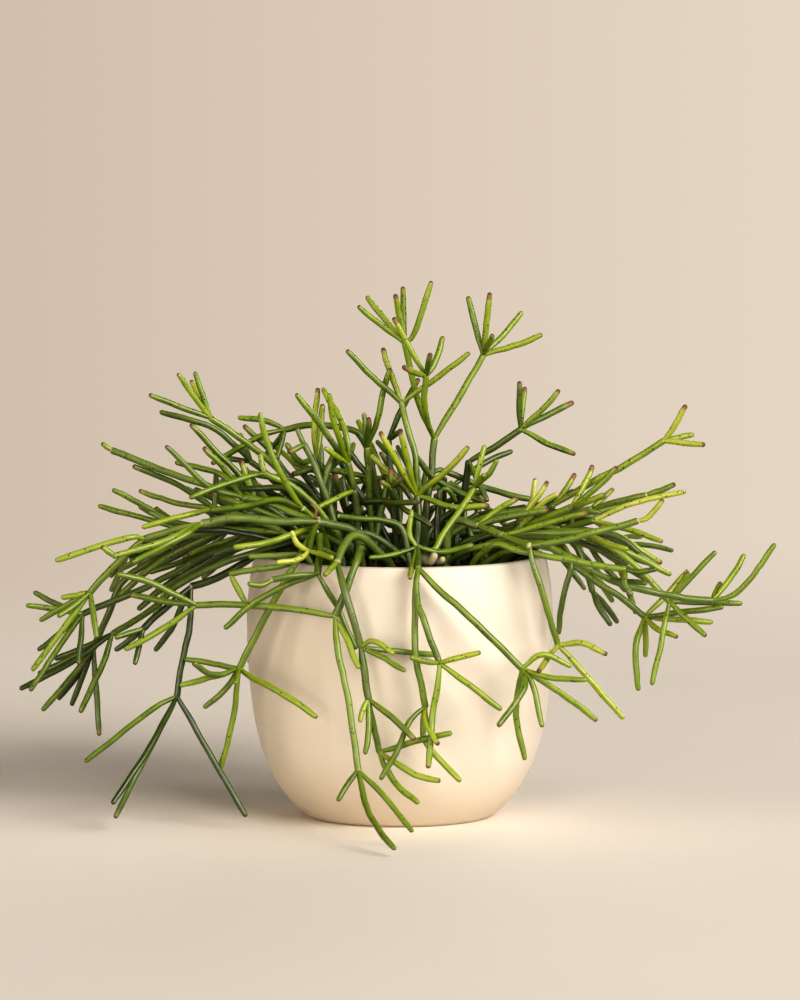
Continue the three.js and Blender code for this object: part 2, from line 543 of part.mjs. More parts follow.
// A rod through the points, its ends drawn in by a share of its radius
function rod(points, radius, sides, baseDraw = 0, tipDraw = 0) {
  const geometry = new THREE.ExtrudeGeometry(polygon(sides, radius), {
    steps: points.length - 1, extrudePath: new Route(points), bevelEnabled: false,
  });
  if (baseDraw) drawIn(geometry, points[0], radius, baseDraw);
  if (tipDraw) drawIn(geometry, points[points.length - 1], radius, tipDraw);
  return solid(geometry);
}

function vector({ x, y, z }) {
  return new THREE.Vector3(x, y, z);
}

// The rods of one shoot and of all that forks from it. A shoot that forks runs on a little past
// its last point, and its forks start narrow inside that knuckle.
function rodsOf(shoot, isFork) {
  const points = shoot.chain.map((i) => vector(knots[i]));
  const last = points.length - 1;
  const isTip = shoot.forks.length === 0;
  if (!isTip) {
    const onward = new THREE.Vector3().subVectors(points[last], points[last - 1]);
    points[last].add(onward.setLength(KNUCKLE));
  }
  if (isFork) {
    const back = new THREE.Vector3().subVectors(points[0], points[1]);
    points[0].add(back.setLength(SUNK));
  } else {
    points.unshift(new THREE.Vector3(points[0].x, points[0].y, SOIL_TOP - ROOT_DEPTH));
  }
  const sides = isTip ? TIP_SIDES : STEM_SIDES;
  const first = rod(points, shoot.radius, sides, isFork ? BASE_DRAW : 0, isTip ? TIP_DRAW : 0);
  return [first, ...shoot.forks.flatMap((fork) => rodsOf(fork, true))];
}

function stemSolid(shoot) {
  const [first, ...rest] = rodsOf(shoot, false);
  return rest.reduce((joined, next) => joined.add(next), first);
}

// The planter's outline from the foot to the belly and on to the rim. An inset gives the same
// curves nearer the axis and higher, for the inside and for the soil.
function bowl(inset, steps) {
  const handles = [FOOT_TURN, BOWL_PULL, BELLY_PULL, [BELLY_RADIUS, BELLY_HEIGHT - inset]];
  const [a, b, c, d] = handles.map(([radius, height]) => new THREE.Vector2(radius - inset, height + inset));
  return new THREE.CubicBezierCurve(a, b, c, d).getPoints(steps);
}

function neck(inset, top) {
  return new THREE.QuadraticBezierCurve(
    new THREE.Vector2(BELLY_RADIUS - inset, BELLY_HEIGHT),
    new THREE.Vector2(BELLY_RADIUS - inset, BELLY_HEIGHT + NECK_PULL),
    new THREE.Vector2(RIM_RADIUS - inset, top),
  ).getPoints(2).slice(1);
}

function lathe(profile, sides) {
  return solid(new THREE.LatheGeometry(profile, sides).rotateX(Math.PI / 2));
}

function planter() {
  const lip = RIM_TOP - LIP_DROP;
  return lathe([
    new THREE.Vector2(0, 0),
    new THREE.Vector2(FOOT_RADIUS, 0),
    ...bowl(0, 7),
    ...neck(0, lip),
    new THREE.Vector2(RIM_RADIUS - LIP_ROUND, RIM_TOP),
    new THREE.Vector2(RIM_RADIUS - WALL + LIP_ROUND, RIM_TOP),
    ...neck(WALL, lip).reverse(),
    ...bowl(WALL, 5).reverse(),
    new THREE.Vector2(0, FLOOR),
  ], POT_SIDES);
}

function soil() {
  let body = lathe([
    new THREE.Vector2(0, FLOOR + 2 * CLEAR),
    ...bowl(SOIL_INSET, 5),
    new THREE.Vector2(SOIL_RADIUS, SOIL_EDGE),
    new THREE.Vector2(SOIL_MOUND, SOIL_TOP),
    new THREE.Vector2(0, SOIL_TOP),
  ], SOIL_SIDES);
  for (const { shoot } of stems) {
    const { x, y } = knots[shoot.chain[0]];
    const radius = (shoot.radius + CLEAR) / Math.cos(Math.PI / HOLE_SIDES);
    const hole = rod([
      new THREE.Vector3(x, y, SOIL_TOP - ROOT_DEPTH - CLEAR),
      new THREE.Vector3(x, y, SOIL_TOP + ROOT_DEPTH),
    ], radius, HOLE_SIDES);
    body = body.subtract(hole);
  }
  return body;
}

const plant = new THREE.Group();
plant.add(meshOf(planter(), 'pot', 0xe9dcc6, 0.7));
plant.add(meshOf(soil(), 'soil', 0x2a1d14, 1));
for (const { name, shoot } of stems) plant.add(meshOf(stemSolid(shoot), `stem_${name}`, 0x5d8430, 0.45));

export default plant;
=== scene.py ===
"""Potted rhipsalis neves-armondii: a leafless jungle cactus in a round ceramic planter.
Metres, +Z up, the planter standing on z = 0 and seen from -Y."""
import math
import random

import bpy
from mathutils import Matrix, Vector, noise


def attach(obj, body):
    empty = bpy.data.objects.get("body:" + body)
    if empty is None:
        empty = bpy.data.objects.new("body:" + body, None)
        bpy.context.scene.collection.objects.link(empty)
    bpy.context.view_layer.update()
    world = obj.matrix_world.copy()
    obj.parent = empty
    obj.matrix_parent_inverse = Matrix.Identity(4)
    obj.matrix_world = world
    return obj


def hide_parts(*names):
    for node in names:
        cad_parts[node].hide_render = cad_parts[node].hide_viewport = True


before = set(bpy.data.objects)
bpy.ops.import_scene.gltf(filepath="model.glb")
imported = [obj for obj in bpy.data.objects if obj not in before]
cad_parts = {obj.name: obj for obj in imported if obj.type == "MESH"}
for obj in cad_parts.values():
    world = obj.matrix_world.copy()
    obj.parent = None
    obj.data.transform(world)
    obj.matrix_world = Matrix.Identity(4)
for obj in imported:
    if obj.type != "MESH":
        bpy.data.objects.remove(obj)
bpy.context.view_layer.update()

# Camera: it stands three metres in front of the planter, a little above the plant, and looks
# slightly down, with a long lens.
EYE = Vector((0, -3.0, 0.433))
AIM = Vector((0, 0, 0.166))
PICTURE_HEIGHT = 0.5246


def put(name, data):
    made = bpy.data.objects.new(name, data)
    bpy.context.collection.objects.link(made)
    return made


def aimed(name, data, place, target):
    """Puts a camera or a lamp at a place, and turns it to its target."""
    made = put(name, data)
    made.location = place
    made.rotation_euler = (target - Vector(place)).to_track_quat("-Z", "Y").to_euler()
    return made


camera = bpy.data.cameras.new("front")
camera.sensor_width = 36
camera.lens = camera.sensor_width * (EYE - AIM).length / PICTURE_HEIGHT
bpy.context.scene.camera = aimed("front", camera, EYE, AIM)


# Studio: a warm pale room gives a faint light, most of it from the front, and one large soft lamp
# at the front right throws the shadow back to the left. Weaker ones at the right, the left, the
# front, the top and the back keep every side readable.
def srgb(red, green, blue):
    """The linear colour of one that is given in steps of 255."""
    steps = [value / 255 for value in (red, green, blue)]
    return tuple(v / 12.92 if v < 0.04045 else ((v + 0.055) / 1.055) ** 2.4 for v in steps) + (1,)


def lamp(name, place, size, watts, colour):
    light = bpy.data.lights.new(name, "AREA")
    light.shape = "DISK"
    light.size = size
    light.energy = watts
    light.color = colour[:3]
    aimed(name, light, place, LIT_PLACE)


class Paint:
    """One socket of the nodes of a finish, a build or the room. Arithmetic on it adds Math nodes."""

    def __init__(self, tree, socket):
        self.tree = tree
        self.socket = socket

    def node(self, kind, settings=None, inputs=None, output=0):
        made = self.tree.nodes.new(kind)
        for name, value in (settings or {}).items():
            setattr(made, name, value)
        for name, value in (inputs or {}).items():
            if isinstance(value, Paint):
                wire(value, made, name)
            else:
                made.inputs[name].default_value = value
        return Paint(self.tree, made.outputs[output])

    def maths(self, operation, first, second):
        return self.node("ShaderNodeMath", {"operation": operation}, {0: first, 1: second})

    def __add__(self, other):
        return self.maths("ADD", self, other)

    def __sub__(self, other):
        return self.maths("SUBTRACT", self, other)

    def __rsub__(self, other):
        return self.maths("SUBTRACT", other, self)

    def __mul__(self, other):
        return self.maths("MULTIPLY", self, other)

    __radd__ = __add__
    __rmul__ = __mul__

    def span(self, limits, start, end, way="LINEAR"):
        """Goes from start to end while this goes from one limit to the other."""
        ends = {"From Min": limits[0], "From Max": limits[1], "To Min": start, "To Max": end}
        return self.node("ShaderNodeMapRange", {"interpolation_type": way}, {"Value": self, **ends})

    def over(self, low, high):
        """0 below low, 1 above high, and a soft step between them."""
        return self.span((low, high), 0.0, 1.0, "SMOOTHSTEP")

    def blend(self, first, second):
        """The first colour where this is 0 and the second where it is 1."""
        return self.node("ShaderNodeMix", {"data_type": "RGBA"}, {0: self, 6: first, 7: second}, 2)

    def ramp(self, stops):
        """The colours of the stops, each at its place between 0 and 1."""
        made = self.node("ShaderNodeValToRGB", None, {"Fac": self})
        elements = made.socket.node.color_ramp.elements
        while len(elements) < len(stops):
            elements.new(0.5)
        for element, (place, colour) in zip(elements, stops):
            element.position = place
            element.color = colour
        return made

    def place(self):
        return self.node("ShaderNodeTexCoord", output="Object")

    def grain(self, scale, detail):
        """Noise between 0 and 1, so many times a metre."""
        inputs = {"Vector": self.place(), "Scale": scale, "Detail": detail}
        return self.node("ShaderNodeTexNoise", None, inputs)

    def mark(self, name):
        """A number that the mesh carries at each of its points."""
        return self.node("ShaderNodeAttribute", {"attribute_name": name}, output="Fac")


def wire(paint, node, name):
    paint.tree.links.new(paint.socket, node.inputs[name])


ROOM_LEFT = srgb(183, 170, 156)
ROOM_RIGHT = srgb(199, 188, 175)
ROOM_SPREAD = (-0.08, 0.07)
ROOM_LIGHT = 0.04
FRONT_LIGHT = 0.3
FRONT_SPREAD = (0.1, -1.0)
LIT_PLACE = Vector((0, 0, 0.1))
WHITE = srgb(255, 253, 250)

room = bpy.data.worlds.new("room")
room.use_nodes = True
walls = room.node_tree.nodes["Background"]
paint = Paint(room.node_tree, None)
gaze = paint.node("ShaderNodeTexCoord", output="Generated")
across = paint.node("ShaderNodeSeparateXYZ", None, {0: gaze}, "X")
inward = paint.node("ShaderNodeSeparateXYZ", None, {0: gaze}, "Y")
is_seen = paint.node("ShaderNodeLightPath", output="Is Camera Ray")
unseen = inward.span(FRONT_SPREAD, ROOM_LIGHT, FRONT_LIGHT)
wire(across.span(ROOM_SPREAD, 0.0, 1.0).blend(ROOM_LEFT, ROOM_RIGHT), walls, "Color")
wire(is_seen.span((0.0, 1.0), unseen, 1.0), walls, "Strength")
bpy.context.scene.world = room
bpy.context.scene.view_settings.view_transform = "Standard"
bpy.context.scene.view_settings.look = "High Contrast"
lamp("key", (6.9, -8.9, 5.2), 8.0, 1260, WHITE)
lamp("side", (11.3, -3.8, 4.0), 6.0, 390, WHITE)
lamp("fill", (-11.0, -5.6, 1.7), 8.0, 490, srgb(255, 244, 228))
lamp("front", (-4.5, -11.6, 1.6), 5.0, 400, srgb(255, 249, 240))
lamp("overhead", (0.6, 0.6, 9.6), 7.8, 40, WHITE)
lamp("back", (3.0, 11.4, 2.4), 6.0, 280, WHITE)


# Floor: a seamless pale sheet that the planter stands on. It fades into the room far from the
# planter, so it has no edge from any side.
def finish_of(name, values):
    """A new material with its plain values, its shader, and a socket to start a pattern from."""
    material = bpy.data.materials.new(name)
    material.use_nodes = True
    shader = material.node_tree.nodes["Principled BSDF"]
    for label, value in values.items():
        shader.inputs[label].default_value = value
    return material, shader, Paint(material.node_tree, None)


def relief(height, shader, depth):
    bump = height.node("ShaderNodeBump", None, {"Height": height, "Distance": depth})
    wire(bump, shader, "Normal")


def piece_of(name, verts, faces, material):
    mesh = bpy.data.meshes.new(name)
    mesh.from_pydata(verts, [], faces)
    mesh.materials.append(material)
    mesh.shade_smooth()
    return put(name, mesh)


def ring(radius, height, sides, shift=0):
    """Points round the axis. The shift turns them by a part of one side."""
    turns = [2 * math.pi * (i + shift) / sides for i in range(sides)]
    return [(radius * math.cos(turn), radius * math.sin(turn), height) for turn in turns]


FLOOR_REACH = 1.7
FLOOR_SIDES = 96
FADE_START = 0.45
FADE_END = 1.6
SHEET_DROP = 0.0002

sheet, shader, paint = finish_of("paper_sheet", {"Roughness": 0.9, "Specular IOR Level": 0.1})
cloud = paint.grain(2.5, 3.0)
wire(cloud.blend(srgb(244, 234, 222), srgb(248, 240, 229)), shader, "Base Color")
reach = paint.node("ShaderNodeVectorMath", {"operation": "LENGTH"}, {0: paint.place()}, "Value")
wire(1 - reach.over(FADE_START, FADE_END), shader, "Alpha")
edge = ring(FLOOR_REACH, -SHEET_DROP, FLOOR_SIDES)
piece_of("floor", edge, [tuple(range(FLOOR_SIDES))], sheet)


# Planter: slip-cast ceramic under a smooth matt cream glaze, one curve from the foot to the belly
# and a neck that draws in to a soft round rim. Painted shade darkens and warms the glaze towards the flat
# foot.
MM = 0.001
FOOT_RADIUS = 48 * MM
FOOT_TURN = (50.5 * MM, 1.2 * MM)
BOWL_PULL = (69 * MM, 16 * MM)
BELLY_PULL = (80.4 * MM, 41 * MM)
BELLY = (80.4 * MM, 104 * MM)
NECK_PULL = (80.4 * MM, 118 * MM)
RIM_RADIUS = 76.8 * MM
RIM_TOP = 138.5 * MM
LIP_DROP = 1.8 * MM
WALL = 4.6 * MM
INSIDE_DEPTH = 100 * MM
PLANTER_SIDES = 168
BOWL_STEPS = 44
NECK_STEPS = 14
LIP_STEPS = 12
FOOT_RINGS = (0, 0.5, 0.86, 1)
FOOT_SHADE_HEIGHT = 45 * MM
GLAZE_RELIEF = 0.15 * MM


def curve(handles, steps):
    """Points on the smooth curve that the handles pull, found by blending neighbours down to one."""
    points = []
    for i in range(steps + 1):
        row = [Vector(handle) for handle in handles]
        while len(row) > 1:
            row = [a.lerp(b, i / steps) for a, b in zip(row, row[1:])]
        points.append(row[0])
    return points


def turned(name, profile, sides, material):
    """A closed body of revolution from an outline that starts and ends on the axis."""
    verts = []
    faces = []
    rings = profile[1:-1]
    for radius, height in rings:
        verts += ring(radius, height, sides)
    for r in range(len(rings) - 1):
        for i in range(sides):
            j = (i + 1) % sides
            a = r * sides
            faces.append((a + i, a + j, a + sides + j, a + sides + i))
    verts.append((0, 0, profile[0][1]))
    verts.append((0, 0, profile[-1][1]))
    last = (len(rings) - 1) * sides
    for i in range(sides):
        j = (i + 1) % sides
        faces.append((j, i, len(verts) - 2))
        faces.append((last + i, last + j, len(verts) - 1))
    return piece_of(name, verts, faces, material)


lip = RIM_TOP - LIP_DROP
outside = curve((FOOT_TURN, BOWL_PULL, BELLY_PULL, BELLY), BOWL_STEPS)
outside += curve((BELLY, NECK_PULL, (RIM_RADIUS, lip)), NECK_STEPS)[1:]
inside = [Vector((radius - WALL, height)) for radius, height in outside if height > INSIDE_DEPTH]
brow = [outside[-1], (RIM_RADIUS, RIM_TOP), (RIM_RADIUS - WALL, RIM_TOP), inside[-1]]
profile = [(FOOT_RADIUS * share, 0) for share in FOOT_RINGS]
profile += outside + curve(brow, LIP_STEPS)[1:-1] + inside[::-1] + [(0, INSIDE_DEPTH)]

glaze, shader, paint = finish_of("matt_cream_glaze", {})
speck = paint.grain(900, 1.0).over(0.7, 0.78)
tint = paint.grain(9, 3.0).blend(srgb(209, 196, 180), srgb(216, 206, 191))
height = paint.node("ShaderNodeSeparateXYZ", None, {0: paint.place()}, "Z")
# Painted shade: the glaze colour turns darker and warmer over the lowest 45 mm above the foot.
tint = height.over(0, FOOT_SHADE_HEIGHT).blend(srgb(199, 185, 165), tint)
wire((speck * 0.25).blend(tint, srgb(196, 178, 152)), shader, "Base Color")
wire(0.42 + paint.grain(60, 3.0) * 0.2, shader, "Roughness")
relief(paint.grain(35, 2.0) + 0.3 * paint.grain(420, 2.0), shader, GLAZE_RELIEF)

planter = turned("planter", profile, PLANTER_SIDES, glaze)
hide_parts("pot")
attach(planter, "root")


# Potting mix: a dark, damp blend of peat and bark crumbs, a little mounded and uneven, that fills
# the planter to just under the rim. Bark chips lie loose on top.
SOIL_RADIUS = 72.1 * MM
SOIL_TOP = 132 * MM
SOIL_EDGE = 130 * MM
SOIL_DEPTH = 104 * MM
SOIL_RINGS = 56
SOIL_SIDES = 180
CLOD = 2.2 * MM
CHIPS = 1500
CHIP_SIZE = 1.5 * MM
CHIP_SMALL = (0.3, 0.25, 0.15)
CHIP_LARGE = (1.7, 1.0, 0.6)
CHIP_TILT = 0.5
LUMPS = 95
GRIT = 290
CRUMB_RELIEF = 0.6 * MM


def soil_height(x, y):
    out = math.hypot(x, y) / SOIL_RADIUS
    level = SOIL_TOP + (SOIL_EDGE - SOIL_TOP) * out ** 4
    lumps = noise.noise(Vector((x, y, 0)) * LUMPS) + 0.5 * noise.noise(Vector((x, y, 0.1)) * GRIT)
    return level + CLOD * (0.5 * lumps - 0.4)


verts = [(0, 0, soil_height(0, 0))]
faces = []
for r in range(1, SOIL_RINGS + 1):
    level = ring(SOIL_RADIUS * r / SOIL_RINGS, 0, SOIL_SIDES, 0.5 * (r % 2))
    verts += [(x, y, soil_height(x, y)) for x, y, _ in level]
for i in range(SOIL_SIDES):
    j = (i + 1) % SOIL_SIDES
    faces.append((0, 1 + i, 1 + j))
    for r in range(SOIL_RINGS - 1):
        a = 1 + r * SOIL_SIDES
        b = a + SOIL_SIDES
        faces.append((a + i, b + i, b + j, a + j))
rim = 1 + (SOIL_RINGS - 1) * SOIL_SIDES
under = len(verts)
for i in range(SOIL_SIDES):
    x, y, _ = verts[rim + i]
    verts.append((x, y, SOIL_DEPTH))
    j = (i + 1) % SOIL_SIDES
    faces.append((rim + i, under + i, under + j, rim + j))
faces.append(tuple(reversed(range(under, under + SOIL_SIDES))))

peat, shader, paint = finish_of("damp_peat", {"Roughness": 0.95, "Specular IOR Level": 0.2})
crumb = paint.grain(700, 4.0)
bark = paint.mark("bark")
dark = crumb.blend(srgb(18, 13, 10), srgb(48, 34, 24))
wire(bark.blend(dark, srgb(112, 70, 42)), shader, "Base Color")
relief(crumb, shader, CRUMB_RELIEF)
mix = piece_of("potting_mix", verts, faces, peat)


class Wiring:
    """A geometry node group with inputs for its sizes, and the way to run it on a piece."""

    def __init__(self, name, sizes):
        self.group = bpy.data.node_groups.new(name, "GeometryNodeTree")
        face = self.group.interface
        face.new_socket("Geometry", in_out="INPUT", socket_type="NodeSocketGeometry")
        self.sockets = {}
        for label, kind in sizes.items():
            made = face.new_socket(label, in_out="INPUT", socket_type=kind)
            self.sockets[label] = made.identifier
        face.new_socket("Geometry", in_out="OUTPUT", socket_type="NodeSocketGeometry")
        start = self.group.nodes.new("NodeGroupInput")
        labels = ("Geometry", *sizes)
        self.given = {label: Paint(self.group, start.outputs[label]) for label in labels}
        self.add = Paint(self.group, None).node

    def close(self, geometry, material):
        """Ends the group: instances become real, and everything gets its finish."""
        real = self.add("GeometryNodeRealizeInstances", None, {"Geometry": geometry})
        dressed = self.add("GeometryNodeSetMaterial", None, {"Geometry": real, "Material": material})
        wire(dressed, self.group.nodes.new("NodeGroupOutput"), 0)

    def grow(self, piece, sizes):
        """Runs the group on a piece once and leaves it a plain mesh."""
        step = piece.modifiers.new("build", "NODES")
        step.node_group = self.group
        for label, value in sizes.items():
            step[self.sockets[label]] = value
        bpy.context.view_layer.update()
        made = piece.evaluated_get(bpy.context.evaluated_depsgraph_get())
        mesh = bpy.data.meshes.new_from_object(made)
        piece.modifiers.remove(step)
        old = piece.data
        piece.data = mesh
        bpy.data.meshes.remove(old)


litter = Wiring("bark_litter", {"Seed": "NodeSocketInt", "Chips per area": "NodeSocketFloat",
                                "Chip size": "NodeSocketFloat"})
given = litter.given
up = litter.add("GeometryNodeInputNormal")
apart = litter.add("ShaderNodeSeparateXYZ", None, {0: up}, "Z")
top = litter.add("FunctionNodeCompare", {"data_type": "FLOAT", "operation": "GREATER_THAN"},
                 {0: apart, 1: 0.3})
spots = litter.add("GeometryNodeDistributePointsOnFaces", {"distribute_method": "RANDOM"},
                   {"Mesh": given["Geometry"], "Selection": top, "Seed": given["Seed"],
                    "Density": given["Chips per area"]})
chip = litter.add("GeometryNodeMeshIcoSphere", None, {"Radius": given["Chip size"], "Subdivisions": 1})
size = litter.add("FunctionNodeRandomValue", {"data_type": "FLOAT_VECTOR"},
                  {"Min": CHIP_SMALL, "Max": CHIP_LARGE, "Seed": 3})
turn = litter.add("FunctionNodeRandomValue", {"data_type": "FLOAT_VECTOR"},
                  {"Min": (-CHIP_TILT, -CHIP_TILT, 0), "Max": (CHIP_TILT, CHIP_TILT, 6.2), "Seed": 5})
laid = litter.add("GeometryNodeInstanceOnPoints", None,
                  {"Points": spots, "Instance": chip, "Rotation": turn, "Scale": size})
pick = litter.add("FunctionNodeRandomValue", {"data_type": "FLOAT"}, {2: -0.9, 3: 1.0, "Seed": 8}, 1)
tinted = litter.add("GeometryNodeStoreNamedAttribute", {"data_type": "FLOAT", "domain": "INSTANCE"},
                    {"Geometry": laid, "Name": "bark", "Value": pick})
both = litter.add("GeometryNodeJoinGeometry", None, {0: tinted})
wire(given["Geometry"], both.socket.node, 0)
litter.close(both, peat)
crowding = CHIPS / (math.pi * SOIL_RADIUS ** 2)
litter.grow(mix, {"Seed": 11, "Chips per area": crowding, "Chip size": CHIP_SIZE})
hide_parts("soil")
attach(mix, "root")


